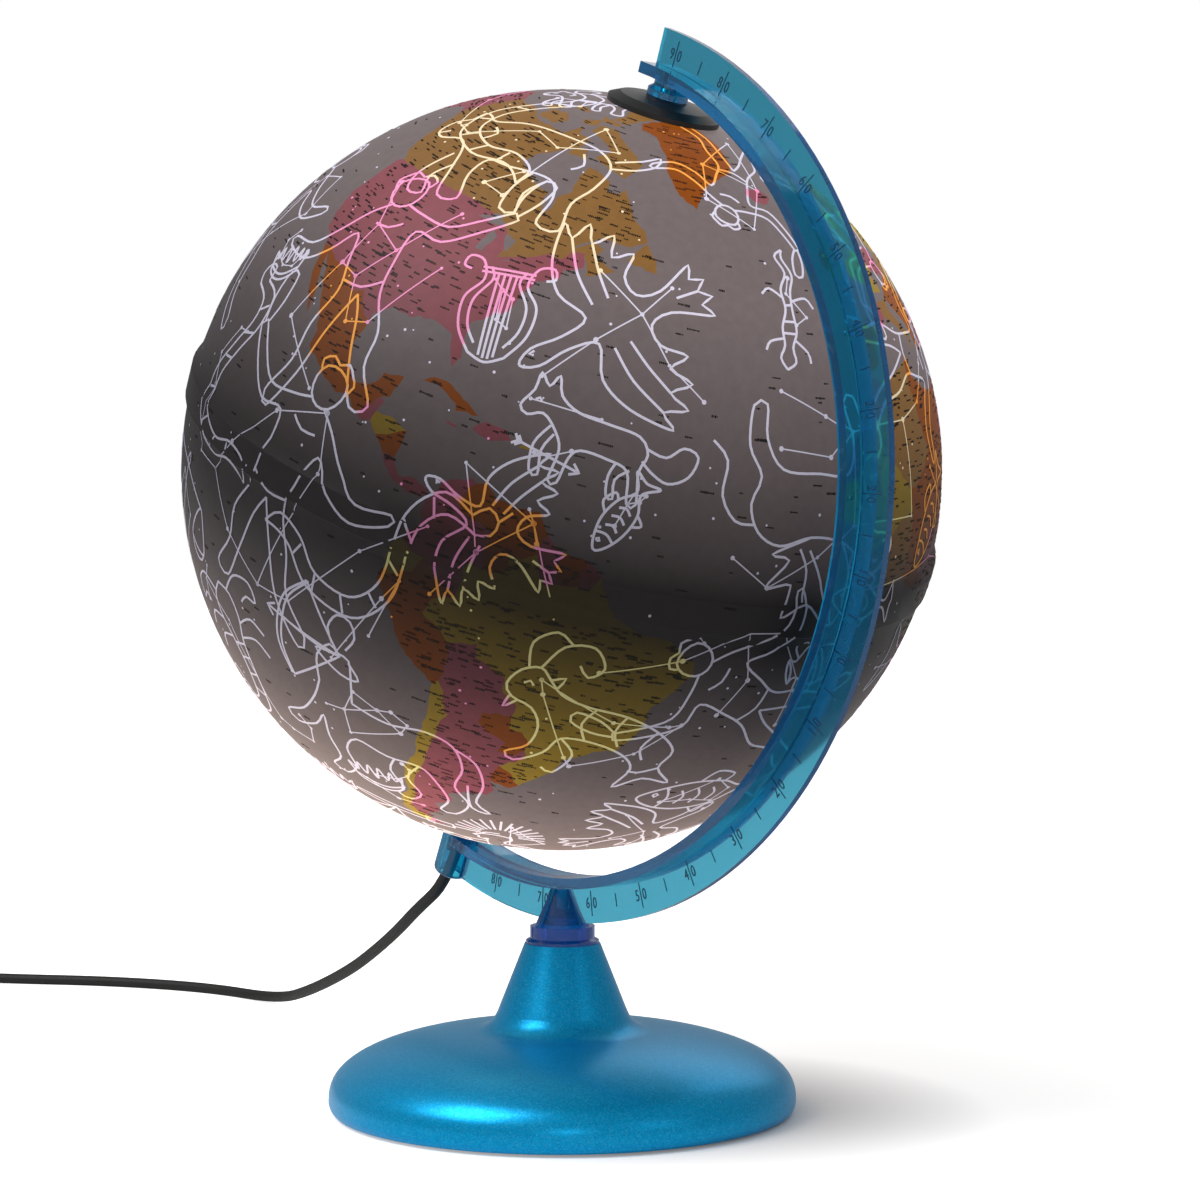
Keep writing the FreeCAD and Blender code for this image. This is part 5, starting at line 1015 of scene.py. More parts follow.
def rim_girth(height: float) -> float:
    """Gives the skin's radius about the axis: the northern half's rim stands proud.

    Args:
        height: Height along the axis over the ball's centre.

    Returns:
        The radius there.
    """
    on_ball = math.sqrt(max(0.0, BALL_RADIUS ** 2 - height ** 2))
    if height < RIM_LOW or height >= RIM_END:
        return on_ball
    if height <= RIM_TOP:
        share = min(1.0, (height - RIM_LOW) / (RIM_SOFT - RIM_LOW))
        start = on_ball + RIM_LIP
        return start + (RIM_RADIUS - start) * share
    share = (height - RIM_TOP) / (RIM_END - RIM_TOP)
    end = math.sqrt(BALL_RADIUS ** 2 - RIM_END ** 2)
    return RIM_RADIUS + (end - RIM_RADIUS) * share


def on_skin(lon: float, lat: float, lift: float = 0.0) -> Vector:
    """Finds the point of the ball's outside at a longitude and latitude.

    Args:
        lon: Degrees east.
        lat: Degrees north.
        lift: Height over the skin in metres.

    Returns:
        The point in the row frame.
    """
    angle, rise = math.radians(lon + MERIDIAN_TURN), math.radians(lat)
    height = BALL_RADIUS * math.sin(rise)
    girth = rim_girth(height)
    flat = OUTWARD * math.cos(angle) + ACROSS * math.sin(angle)
    across = flat * (girth + lift * math.cos(rise))
    return CENTRE + across + AXIS * (height + lift * math.sin(rise))


@dataclass
class Country:
    """One outline of the map, roughened as a coast is, with its own box for quick tests."""

    ink: Ink
    text: str
    step: float = 1.1
    rough: float = 0.22
    edge: list = field(default_factory=list)

    def __post_init__(self) -> None:
        """Reads the outline and roughens each side between its corners."""
        corners = read_strokes(self.text)[0][0]
        for a, b in zip(corners, corners[1:] + corners[:1]):
            self.edge.append(a)
            self.edge += self.side(a, b)
        self.west, self.east = (f(p[0] for p in self.edge) for f in (min, max))
        self.south, self.north = (f(p[1] for p in self.edge) for f in (min, max))

    def side(self, a: tuple, b: tuple) -> list[tuple[float, float]]:
        """Breaks one side up; neighbours that share it get the same points.

        Args:
            a: The side's start.
            b: The side's end.

        Returns:
            The points between them, in order from a to b.
        """
        first, last = sorted((a, b))
        span = math.dist(first, last)
        count = int(span / self.step)
        draw = random.Random(f"{first} {last}")
        # Sides along the map's own edges stay straight.
        if abs(first[0]) == 180 and abs(last[0]) == 180 or max(first[1], last[1]) <= -90:
            return []
        points = []
        for i in range(1, count + 1):
            share = i / (count + 1)
            swing = draw.uniform(-1, 1) * self.rough * min(1.0, span / 3)
            points.append((
                first[0] + (last[0] - first[0]) * share - (last[1] - first[1]) / span * swing,
                first[1] + (last[1] - first[1]) * share + (last[0] - first[0]) / span * swing,
            ))
        return points if first == a else points[::-1]

    def holds(self, lon: float, lat: float) -> bool:
        """Says whether a point lies inside the outline.

        Args:
            lon: Degrees east.
            lat: Degrees north.

        Returns:
            True inside.
        """
        if not (self.west <= lon <= self.east and self.south <= lat <= self.north):
            return False
        inside = False
        for (x0, y0), (x1, y1) in zip(self.edge, self.edge[1:] + self.edge[:1]):
            if (y0 > lat) != (y1 > lat) and lon < x0 + (lat - y0) / (y1 - y0) * (x1 - x0):
                inside = not inside
        return inside


class FlatInk:
    """Gathers thin raised shapes of one printing and makes one piece of them."""

    def __init__(self, thick: float) -> None:
        """Starts with nothing printed.

        Args:
            thick: The ink's thickness in metres.
        """
        self.thick = thick
        self.verts: list[Vector] = []
        self.faces: list[tuple[int, ...]] = []
        self.tints: list[Ink] = []

    def prism(self, outline: list[Vector], out: Vector, ink: Ink) -> None:
        """Prints one flat closed shape with a little thickness.

        Args:
            outline: Its corners, anticlockwise from outside.
            out: The way its thickness goes.
            ink: Its colour.
        """
        start, count = len(self.verts), len(outline)
        self.verts += [p - out * self.thick for p in outline] + list(outline)
        self.faces.append(tuple(range(start + count, start + 2 * count)))
        self.faces.append(tuple(range(start + count - 1, start - 1, -1)))
        for i in range(count):
            j = (i + 1) % count
            self.faces.append((start + i, start + j, start + count + j, start + count + i))
        self.tints += [ink] * (2 * count)

    def ribbon(self, line: list[Vector], width: float, inks: list[Ink]) -> None:
        """Prints one line as a thin strip that follows the skin.

        Args:
            line: Points along it, over the skin.
            width: Its width in metres.
            inks: Its colour at each point.
        """
        start = len(self.verts)
        for i, point in enumerate(line):
            along = (line[min(i + 1, len(line) - 1)] - line[max(i - 1, 0)]).normalized()
            out = (point - CENTRE).normalized()
            side = out.cross(along) * (width / 2)
            self.verts += [
                point + side, point - side,
                point - side - out * self.thick, point + side - out * self.thick,
            ]
            self.tints += [inks[i]] * 4
        for i in range(len(line) - 1):
            at = start + 4 * i
            for a, b in ((0, 1), (1, 2), (2, 3), (3, 0)):
                self.faces.append((at + a, at + b, at + 4 + b, at + 4 + a))
        end = start + 4 * (len(line) - 1)
        self.faces.append((start + 3, start + 2, start + 1, start))
        self.faces.append((end, end + 1, end + 2, end + 3))

    def piece(self, name: str, material: bpy.types.Material) -> bpy.types.Object:
        """Makes the printed piece.

        Args:
            name: The piece's name.
            material: The ink's material.

        Returns:
            The finished object.
        """
        made = from_faces(name, self.verts, self.faces)
        tint = made.data.color_attributes.new("tint", "FLOAT_COLOR", "POINT")
        tint.data.foreach_set("color", [c for ink in self.tints for c in INK_COLOURS[ink]])
        dress(made, material)
        face_out(made)
        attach(made, "ball")
        return made


@dataclass(frozen=True)
class Half:
    """One half of the ball, the latitudes that belong to it, and the ink printed on it."""

    name: str
    keep: Callable[[float], bool]
    ink: bpy.types.Material


@dataclass
class PrintedBall:
    """The lit ball: two translucent shells with the map printed in the skin.

    Over the map lie the place-name marks, the sky figures, the star sticks and the stars.
    """

    wall: float = 1.6 * MM
    north_hole: float = 8.0 * MM
    south_hole: float = 20.0 * MM
    # The shells' mesh, in degrees: its columns and rows, the first even row over the rim and
    # under the joint, and the two rows that end the southern half.
    column: float = 3.0
    row: float = 2.5
    over_rim: float = 7.5
    under_joint: float = -2.5
    south_edge: tuple = (0.0, -1.0)
    weld: float = 1e-6
    figure_width: float = 0.78 * MM
    stick_width: float = 0.42 * MM
    ink_thick: float = 0.06 * MM
    mark_lift: float = 0.09 * MM
    line_lift: float = 0.12 * MM
    star_lift: float = 0.15 * MM
    spacing: float = 2.0 * MM
    stroke_step: float = 0.75
    # Latitudes past which nothing is printed: near the caps, and over the halves' joint.
    line_north: float = 82.2
    star_north: float = 82.0
    print_south: float = -80.0
    mark_joint: tuple[float, float] = (-2.2, 0.8)
    star_joint: tuple[float, float] = (-2.6, 0.2)
    faint_stars: int = 620
    name_marks: int = 4000
    sea_marks: int = 420
    most_tries: int = 60000
    # Share of the marks drawn over the sea that are kept, their sines of latitude and sizes.
    sea_share: float = 0.06
    mark_sines: tuple = (-0.93, 0.985)
    mark_sizes: tuple = (0.42, 0.5, 0.6)
    # A dash's width, height and gap as shares of that size, and the stars' radii in mm.
    dash_widths: tuple = (0.45, 0.95)
    dash_heights: tuple = (0.8, 1.0, 1.3)
    dash_gap: float = 0.22
    star_sizes: tuple = (0.55, 0.95)
    faint_sizes: tuple = (0.25, 0.5)
    star_sines: tuple = (-0.985, 0.985)
    countries: list = field(default_factory=lambda: [Country(*land) for land in LANDS])

    def ground(self, lon: float, lat: float) -> Ink:
        """Gives the colour printed at a place.

        Args:
            lon: Degrees east, whole turns aside.
            lat: Degrees north.

        Returns:
            The ink of the last outline that holds it, or the sea's.
        """
        lon = (lon + 180.0) % 360.0 - 180.0
        found = Ink.SEA
        for country in self.countries:
            if country.holds(lon, lat):
                found = country.ink
        return found

    def build(self) -> None:
        """Makes the shells and every printing."""
        skin = PrintedFilm("printed_translucent_polystyrene", reflect=0.075, glow=1.0).make()
        ink = PrintedFilm("opaque_screen_ink", reflect=0.36, glow=0.66, mottle_mm=1.5).make()
        high = math.degrees(math.acos(self.north_hole / BALL_RADIUS))
        low = math.degrees(math.acos(self.south_hole / BALL_RADIUS))
        rim = [
            math.degrees(math.asin(h / BALL_RADIUS)) for h in (RIM_LOW, RIM_SOFT, RIM_TOP, RIM_END)
        ]
        north, south = self.rows(self.over_rim, high), self.rows(self.under_joint, -low)
        self.shell("northern_skin", [*rim, *north], skin, "northern_hemisphere")
        self.shell("southern_skin", [*self.south_edge, *south], skin, "southern_hemisphere")
        for half in (
            Half("northern", lambda lat: lat >= 0, ink), Half("southern", lambda lat: lat < 0, ink)
        ):
            self.marks(half)
            self.figures(half)
            self.stars(half)

    def rows(self, start: float, end: float) -> list[float]:
        """Lists latitudes from one to another, a row apart and ending exactly."""
        count = max(1, round(abs(end - start) / self.row))
        return [start + (end - start) * i / count for i in range(count + 1)]

    def shell(
        self, name: str, rows: list[float], material: bpy.types.Material, node: str
    ) -> None:
        """Makes one printed shell, its coasts and borders cut into the mesh itself.

        Args:
            name: The piece's name.
            rows: Latitudes of its rings.
            material: The printed skin.
            node: The CAD node that it stands for.
        """
        low, high = min(rows), max(rows)
        columns = round(360 / self.column)
        points = [
            (-180 + 360 * c / columns, lat) for lat in rows for c in range(columns + 1)
        ]
        ring = columns + 1
        edges = [(r * ring + c, r * ring + c + 1) for r in range(len(rows)) for c in range(columns)]
        for country in self.countries:
            if country.north <= low or country.south >= high:
                continue
            start, count = len(points), len(country.edge)
            points += [(x, min(high, max(low, y))) for x, y in country.edge]
            edges += [(start + i, start + (i + 1) % count) for i in range(count)]
        flat = [Vector(p) for p in points]
        found = delaunay_2d_cdt(flat, edges, [], 0, 1e-4, False)
        verts, faces = found[0], found[2]
        place = [on_skin(v.x, v.y) for v in verts]
        kept = []
        for face in faces:
            if all(low - 1e-3 <= verts[i].y <= high + 1e-3 for i in face):
                middle = sum((verts[i] for i in face), Vector((0.0, 0.0))) / len(face)
                kept.append((face, self.ground(middle.x, middle.y)))
        shell = from_faces(name, place, [face for face, _ in kept])
        tint = shell.data.color_attributes.new("tint", "FLOAT_COLOR", "CORNER")
        values = []
        for polygon in shell.data.polygons:
            colour = INK_COLOURS[kept[polygon.index][1]]
            values += [c for _ in polygon.loop_indices for c in colour]
        tint.data.foreach_set("color", values)
        face_out(shell, self.weld)
        # An open shell may still end up facing in.
        outward = sum(
            1 if (p.center - CENTRE).dot(p.normal) > 0 else -1 for p in shell.data.polygons
        )
        if outward < 0:
            shell.data.flip_normals()
        wall = shell.modifiers.new("wall", "SOLIDIFY")
        wall.thickness, wall.offset = self.wall, -1.0
        bpy.ops.object.modifier_apply(modifier=wall.name)
        smooth(shell, 25.0)
        dress(shell, material)
        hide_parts(node)
        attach(shell, "ball")

    def marks(self, half: Half) -> None:
        """Prints the fine place-name marks: short broken dashes in place of any lettering.

        Args:
            half: The half that they are on.
        """
        draw = random.Random(23)
        print_run = FlatInk(self.ink_thick)
        made = tries = 0
        while made < self.name_marks + self.sea_marks and tries < self.most_tries:
            tries += 1
            lon = draw.uniform(-180, 180)
            lat = math.degrees(math.asin(draw.uniform(*self.mark_sines)))
            letters, size = draw.randint(3, 8), draw.choice(self.mark_sizes)
            on_sea = self.ground(lon, lat) is Ink.SEA
            if on_sea and draw.random() > self.sea_share:
                continue
            if self.mark_joint[0] < lat < self.mark_joint[1]:
                continue
            made += 1
            if not half.keep(lat):
                continue
            out = sky_direction(lon, lat)
            east = AXIS.cross(out).normalized()
            north = out.cross(east)
            reach = 0.0
            for _ in range(letters):
                wide = size * draw.uniform(*self.dash_widths) * MM
                tall = size * draw.choice(self.dash_heights) * MM
                middle = on_skin(lon, lat, self.mark_lift) + east * (reach + wide / 2)
                spot = (middle - CENTRE).normalized()
                middle = CENTRE + spot * (on_skin(lon, lat, self.mark_lift) - CENTRE).length
                corners = [
                    middle + east * (x * wide / 2) + north * (y * tall / 2)
                    for x, y in ((-1, -1), (1, -1), (1, 1), (-1, 1))
                ]
                print_run.prism(corners, spot, Ink.DARK)
                reach += wide + self.dash_gap * size * MM
        print_run.piece(f"{half.name}_place_marks", half.ink)

    def sampled(self, strokes: list, curved: bool) -> list[list[tuple[float, float]]]:
        """Fills strokes in with points, rounding the curved ones.

        Args:
            strokes: Runs of corner points.
            curved: Whether the runs are smooth curves.

        Returns:
            The filled runs.
        """
        filled = []
        for run in strokes:
            line = []
            closed = curved and run[0] == run[-1]
            for i in range(len(run) - 1):
                before = run[i - 1] if i else (run[-2] if closed else run[0])
                after = run[i + 2] if i + 2 < len(run) else (run[1] if closed else run[-1])
                a, b = run[i], run[i + 1]
                steps = max(1, math.ceil(math.dist(a, b) / self.stroke_step))
                for s in range(steps):
                    t = s / steps
                    if curved:
                        line.append(tuple(
                            0.5 * (2 * q + (r - p) * t + (2 * p - 5 * q + 4 * r - u) * t * t
                                   + (3 * q - p - 3 * r + u) * t ** 3)
                            for p, q, r, u in zip(before, a, b, after)
                        ))
                    else:
                        line.append(tuple(q + (r - q) * t for q, r in zip(a, b)))
            line.append(run[-1])
            filled.append(line)
        return filled

    def pressed(
        self, print_run: FlatInk, line: list[Vector], half: Half, width: float, lift: float
    ) -> None:
        """Prints a line given as directions, in the colours of what it crosses.

        Args:
            print_run: The printing that it joins.
            line: Directions from the ball's centre.
            half: The half that is printed now.
            width: The line's width.
            lift: Its height over the skin.
        """
        run, inks = [], []
        for direction in line:
            lat = math.degrees(math.asin(max(-1.0, min(1.0, direction.dot(AXIS)))))
            lon = math.degrees(math.atan2(
                direction.dot(ACROSS), direction.dot(OUTWARD),
            )) - MERIDIAN_TURN
            outside = lat > self.line_north or lat < self.print_south or not half.keep(lat)
            if not outside:
                run.append(on_skin(lon, lat, lift))
                inks.append(LINE_ON[self.ground(lon, lat)])
            if (outside or direction is line[-1]) and len(run) > 1:
                print_run.ribbon(run, width, inks)
            if outside:
                run, inks = [], []

    def figures(self, half: Half) -> None:
        """Prints the sky figures and the star sticks.

        Args:
            half: The half that they are on.
        """
        drawn = FlatInk(self.ink_thick)
        for name, right_ascension, declination, turn, size, mirrored in SKY:
            curved, straight = read_strokes(DRAWINGS[name])
            runs = self.sampled(curved, True) + self.sampled(straight, False)
            if name == "plumed head":
                # Its plumes fan out from the crown.
                runs += [
                    [(3.2 * math.sin(a) * k, 2.4 + 3.2 * math.cos(a) * k) for k in (0.8, 1.3, 1.9)]
                    for a in (math.radians(-100 + 14 * i) for i in range(15))
                ]
            middle = sky_direction(right_ascension - 360, declination)
            east = AXIS.cross(middle).normalized()
            north = middle.cross(east)
            lean = math.radians(turn)
            for run in runs:
                line = []
                for x, y in run:
                    x = -x if mirrored else x
                    across = x * math.cos(lean) - y * math.sin(lean)
                    upward = x * math.sin(lean) + y * math.cos(lean)
                    reach = math.radians(math.hypot(across, upward) * size / 10)
                    if reach < 1e-6:
                        line.append(middle.copy())
                        continue
                    way = (east * across + north * upward).normalized()
                    line.append(middle * math.cos(reach) + way * math.sin(reach))
                self.pressed(drawn, line, half, self.figure_width, self.line_lift)
        drawn.piece(f"{half.name}_sky_figures", half.ink)
        sticks = FlatInk(self.ink_thick)
        for group in STAR_STICKS:
            for run in read_strokes(group)[0]:
                for a, b in zip(run, run[1:]):
                    start, end = (sky_direction(x - 360, y) for x, y in (a, b))
                    steps = max(2, math.ceil(start.angle(end) * BALL_RADIUS / self.spacing))
                    line = [start.slerp(end, i / steps) for i in range(steps + 1)]
                    self.pressed(sticks, line, half, self.stick_width, self.line_lift)
        sticks.piece(f"{half.name}_star_sticks", half.ink)

    def stars(self, half: Half) -> None:
        """Prints the stars: one at each stick's end, and faint ones between.

        Args:
            half: The half that they are on.
        """
        draw = random.Random(7)
        spots = []
        for group in STAR_STICKS:
            for run in read_strokes(group)[0]:
                spots += [(x - 360, y, draw.uniform(*self.star_sizes)) for x, y in run]
        for _ in range(self.faint_stars):
            lat = math.degrees(math.asin(draw.uniform(*self.star_sines)))
            spots.append((draw.uniform(-180, 180), lat, draw.uniform(*self.faint_sizes)))
        print_run = FlatInk(self.ink_thick)
        for lon, lat, radius in spots:
            if not half.keep(lat) or lat > self.star_north or lat < self.print_south:
                continue
            if self.star_joint[0] < lat < self.star_joint[1]:
                continue
            out = sky_direction(lon, lat)
            east = AXIS.cross(out).normalized()
            north = out.cross(east)
            middle = on_skin(lon, lat, self.star_lift)
            ring = [
                middle + (east * math.cos(a) + north * math.sin(a)) * (radius * MM)
                for a in (i * math.pi / 4 for i in range(8))
            ]
            print_run.prism(ring, out, LINE_ON[self.ground(lon, lat)])
        print_run.piece(f"{half.name}_stars", half.ink)


# ------------------------------------------------------------------ studio


@dataclass
class Studio:
    """Camera, pale floor and soft lamps round the table that the globe stands on."""

    turn: float = math.radians(48.91)
    rise: float = math.radians(1.32)
    distance: float = 971.06 * MM
    lens: float = 87.45
    aim_right: float = 12.49 * MM
    aim_up: float = 169.64 * MM
    sensor: float = 36.0
    clip_start: float = 0.05
    floor_radius: float = 9.0
    # How far right of the base's middle its soft shade is deepest.
    shade_right: float = 0.03
    # From where to where the floor's own light grows, and by how much: near it and far off.
    near_growth: tuple = (0.045, 0.115, 0.58)
    far_growth: tuple = (0.1, 0.5, 0.38)
    aim_height: float = 0.16

    def axes(self) -> tuple[Vector, Vector]:
        """Gives the level ways to the right and to the front of the view.

        Returns:
            Both directions, one long.
        """
        right = Vector((math.cos(self.turn), math.sin(self.turn), 0.0))
        front = Vector((math.sin(self.turn), -math.cos(self.turn), 0.0))
        return right, front

    def build(self) -> None:
        """Makes all of the studio."""
        self.camera()
        self.floor()
        self.lamps()
        self.sky()

    def camera(self) -> None:
        """Stands the camera at table height, turned to look over the meridian arm."""
        right, front = self.axes()
        back = front * math.cos(self.rise) + Vector((0.0, 0.0, math.sin(self.rise)))
        up = back.cross(right)
        bpy.ops.object.camera_add()
        camera = bpy.context.object
        camera.name = "table_camera"
        camera.location = right * self.aim_right + up * self.aim_up + back * self.distance
        camera.rotation_euler = (-back).to_track_quat("-Z", "Y").to_euler()
        camera.data.lens = self.lens
        camera.data.sensor_width = self.sensor
        camera.data.clip_start = self.clip_start
        bpy.context.scene.camera = camera

    def floor(self) -> None:
        """Lays a white paper floor, far wider than the view, softly shaded round the base."""
        bpy.ops.object.select_all(action="DESELECT")
        bpy.ops.mesh.primitive_circle_add(
            vertices=64, radius=self.floor_radius, fill_type="NGON"
        )
        floor = bpy.context.object
        floor.name = "studio_floor"
        material, tree = empty_material("white_paper")
        place = add_node(tree, "ShaderNodeTexCoord").outputs["Object"]
        shade = self.axes()[0] * self.shade_right
        reach = add_node(
            tree, "ShaderNodeVectorMath", {0: place, 1: tuple(shade)}, operation="DISTANCE",
        )
        near, far = (
            add_node(
                tree, "ShaderNodeMapRange",
                {"Value": reach.outputs["Value"], "From Min": start, "From Max": stop,
                 "To Min": 0.0, "To Max": gain},
            )
            for start, stop, gain in (self.near_growth, self.far_growth)
        )
        both = add_node(
            tree, "ShaderNodeMath",
            {0: near.outputs["Result"], 1: far.outputs["Result"]}, operation="ADD",
        )
        seen = add_node(tree, "ShaderNodeLightPath").outputs["Is Camera Ray"]
        glow = add_node(
            tree, "ShaderNodeMath", {0: both.outputs["Value"], 1: seen}, operation="MULTIPLY",
        )
        surface = add_node(
            tree, "ShaderNodeBsdfPrincipled",
            {"Base Color": (0.94, 0.94, 0.94, 1.0), "Roughness": 0.9,
             "Specular IOR Level": 0.1, "Emission Color": (1.0, 1.0, 1.0, 1.0),
             "Emission Strength": glow.outputs["Value"]},
        )
        add_node(tree, "ShaderNodeOutputMaterial", {"Surface": surface.outputs["BSDF"]})
        dress(floor, material)

    def lamps(self) -> None:
        """Hangs a broad key at the left, a weak fill at the right, a rim behind, a strip ahead."""
        aim = Vector((0.0, 0.0, self.aim_height))
        right, front = self.axes()
        up = Vector((0.0, 0.0, 1.0))
        # Each one's name, place, size in metres and power in watts.
        hung = (
            ("key", right * -1.1 + front * 0.6 + up * 1.7, 1.1, 26.0),
            ("fill", right * 1.4 + front * 1.3 + up * 0.8, 0.8, 1.2),
            ("rim", right * 0.6 - front * 1.5 + up * 1.3, 1.2, 3.0),
            ("strip", right * 0.1 + front * 1.7 + up * 0.5, 0.22, 1.3),
        )
        for name, place, size, power in hung:
            bpy.ops.object.light_add(type="AREA", location=place)
            lamp = bpy.context.object
            lamp.name = f"{name}_softbox"
            lamp.data.size = size
            lamp.data.energy = power
            lamp.rotation_euler = (aim - place).to_track_quat("-Z", "Y").to_euler()

    def sky(self) -> None:
        """Surrounds the table with even white light."""
        scene = bpy.context.scene
        scene.view_settings.view_transform = "Standard"
        world = bpy.data.worlds.new("white_cove")
        world.use_nodes = True
        world.node_tree.nodes.clear()
        tree = world.node_tree
        seen = add_node(tree, "ShaderNodeLightPath").outputs["Is Camera Ray"]
        lit = add_node(
            tree, "ShaderNodeBackground", {"Color": (1.0, 1.0, 1.0, 1.0), "Strength": 0.34},
        )
        shown = add_node(
            tree, "ShaderNodeBackground", {"Color": (1.0, 1.0, 1.0, 1.0), "Strength": 1.0},
        )
        both = add_node(
            tree, "ShaderNodeMixShader",
            {0: seen, 1: lit.outputs["Background"], 2: shown.outputs["Background"]},
        )
        add_node(tree, "ShaderNodeOutputWorld", {"Surface": both.outputs["Shader"]})
        scene.world = world


# -------------------------------------------------------------------- cord


def on_table(left: float, back: float, up: float) -> Vector:
    """Turns a point from millimetres left, back and up into the row frame."""
    return (LEFTWARD * left + BACKWARD * back + Vector((0.0, 0.0, up))) * MM


@dataclass
class FlexCord:
    """The mains cord, laid at its full length.

    It comes out of the arm's hollow spigot, hangs down to the table, passes through the
    switch, winds round a neat coil and comes back to the plug. Its route's points are
    millimetres left of the stand, back from it and up.
    """

    diameter: float = 4.2 * MM
    # The height of its middle where it lies on the table.
    rest: float = 2.1
    # How far down the axis from the ball's centre it starts, shows and turns away.
    start_drop: float = 134.0
    mouth_drop: float = 151.0
    straight_drop: float = 154.0
    coil_left: float = 392.0
    coil_back: float = 297.63
    coil_inner: float = 18.0
    coil_outer: float = 27.63
    coil_turns: float = 8.5
    layers: int = 4
    step_up: float = 4.3
    # The share of a layer after which it climbs to the next.
    climb_from: float = 0.8
    points_a_turn: int = 14
    free: tuple = (
        (52.8, 64.0, 58.1), (60.4, 81.0, 48.7), (70.0, 102.0, 38.5), (81.8, 129.0, 27.1),
        (101.0, 174.0, 12.4), (118.0, 216.0, 2.1), (150.0, 246.0, 2.1), (194.0, 264.0, 2.1),
        (238.0, 270.5, 2.1), (268.0, 271.0, 3.3), (286.0, 270.0, 6.5),
    )
    lead: tuple = (
        (342.0, 270.0, 6.5), (360.0, 269.4, 3.6), (378.0, 270.0, 2.1),
    )
    tail: tuple = ((372.0, 326.26, 12.6), (354.0, 326.46, 9.4), (336.0, 325.66, 6.9))

    def spigot(self, drop: float) -> Vector:
        """Gives the point that far below the ball's centre along its axis, in millimetres."""
        return CENTRE - AXIS * (drop * MM)

    def coil(self) -> list[Vector]:
        """Winds the put-away length in layers, one inward and the next outward.

        Returns:
            Its points in the row frame.
        """
        count = round(self.coil_turns * self.points_a_turn)
        points = []
        for i in range(count + 1):
            turns = i / self.points_a_turn
            layer = min(int(turns / self.coil_turns * self.layers), self.layers - 1)
            within = turns / self.coil_turns * self.layers - layer
            inward = within if layer % 2 == 0 else 1.0 - within
            radius = self.coil_outer + (self.coil_inner - self.coil_outer) * inward
            angle = -math.pi / 2 + turns * 2 * math.pi
            climb = max(0.0, within - self.climb_from) / (1.0 - self.climb_from)
            height = self.rest + self.step_up * (layer + climb / 2)
            points.append(on_table(
                self.coil_left + radius * math.cos(angle),
                self.coil_back + radius * math.sin(angle),
                height,
            ))
        return points

    def line(self, name: str, points: list[Vector]) -> bpy.types.Object:
        """Draws one cord as a round NURBS tube through its control points.

        Args:
            name: The piece's name.
            points: Control points in the row frame.

        Returns:
            The curve object.
        """
        curve = bpy.data.curves.new(name, "CURVE")
        curve.dimensions = "3D"
        curve.bevel_depth = self.diameter / 2
        curve.bevel_resolution = 5
        curve.resolution_u = 6
        curve.use_fill_caps = True
        spline = curve.splines.new("NURBS")
        spline.points.add(len(points) - 1)
        for knot, point in zip(spline.points, points):
            knot.co = (*point, 1.0)
        spline.order_u = 3
        spline.use_endpoint_u = True
        cord = bpy.data.objects.new(name, curve)
        bpy.context.scene.collection.objects.link(cord)
        return cord

    def build(self, pvc: bpy.types.Material, sleeves: list, relief: list) -> None:
        """Lays the cord before the switch, and the cord from the switch to the plug.

        Args:
            pvc: The cord jacket's material.
            sleeves: The switch's own sleeves; not used.
            relief: The plug's strain relief; not used.
        """
        first = [self.spigot(self.start_drop), self.spigot(self.straight_drop)]
        first += [on_table(*p) for p in self.free]
        upstream = self.line("mains_cord_globe_side", first)
        second = [on_table(*p) for p in self.lead] + self.coil()
        second += [on_table(*p) for p in self.tail]
        downstream = self.line("mains_cord_plug_side", second)
        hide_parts("cord_free")
        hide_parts("cord_lead", "cord_coil", "cord_tail")
        for cord in (upstream, downstream):
            dress(cord, pvc)
            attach(cord, "stand")


def extruded(name: str, stations: list[tuple[float, float]], sides: int = 32) -> bpy.types.Object:
    """Grows a round piece up from a disc, one extrusion to each station.

    Args:
        name: The piece's name.
        stations: Height and radius of each ring, in metres, from the bottom.
        sides: Corners of each ring.

    Returns:
        The piece, standing on the origin along Z.
    """
    height, radius = stations[0]
    bpy.ops.object.select_all(action="DESELECT")
    bpy.ops.mesh.primitive_circle_add(
        vertices=sides, radius=radius, fill_type="NGON", location=(0.0, 0.0, height)
    )
    piece = bpy.context.object
    piece.name = piece.data.name = name
    settle(piece)
    bpy.ops.object.mode_set(mode="EDIT")
    bpy.ops.mesh.select_all(action="SELECT")
    for higher, wider in stations[1:]:
        bpy.ops.mesh.extrude_region_move(
            TRANSFORM_OT_translate={"value": (0.0, 0.0, higher - height)}
        )
        share = wider / radius
        bpy.ops.transform.resize(value=(share, share, 1.0), center_override=(0.0, 0.0, higher))
        height, radius = higher, wider
    bpy.ops.object.mode_set(mode="OBJECT")
    face_out(piece)
    return piece


def stand_along(piece: bpy.types.Object, start: Vector, end: Vector) -> None:
    """Moves a piece that stands on the origin to stand at a point and lean to another.

    Args:
        piece: The piece, made along Z.
        start: Where its foot goes.
        end: What it leans towards.
    """
    turn = (end - start).to_track_quat("Z", "Y").to_matrix().to_4x4()
    piece.data.transform(Matrix.Translation(start) @ turn)
    piece.data.update()


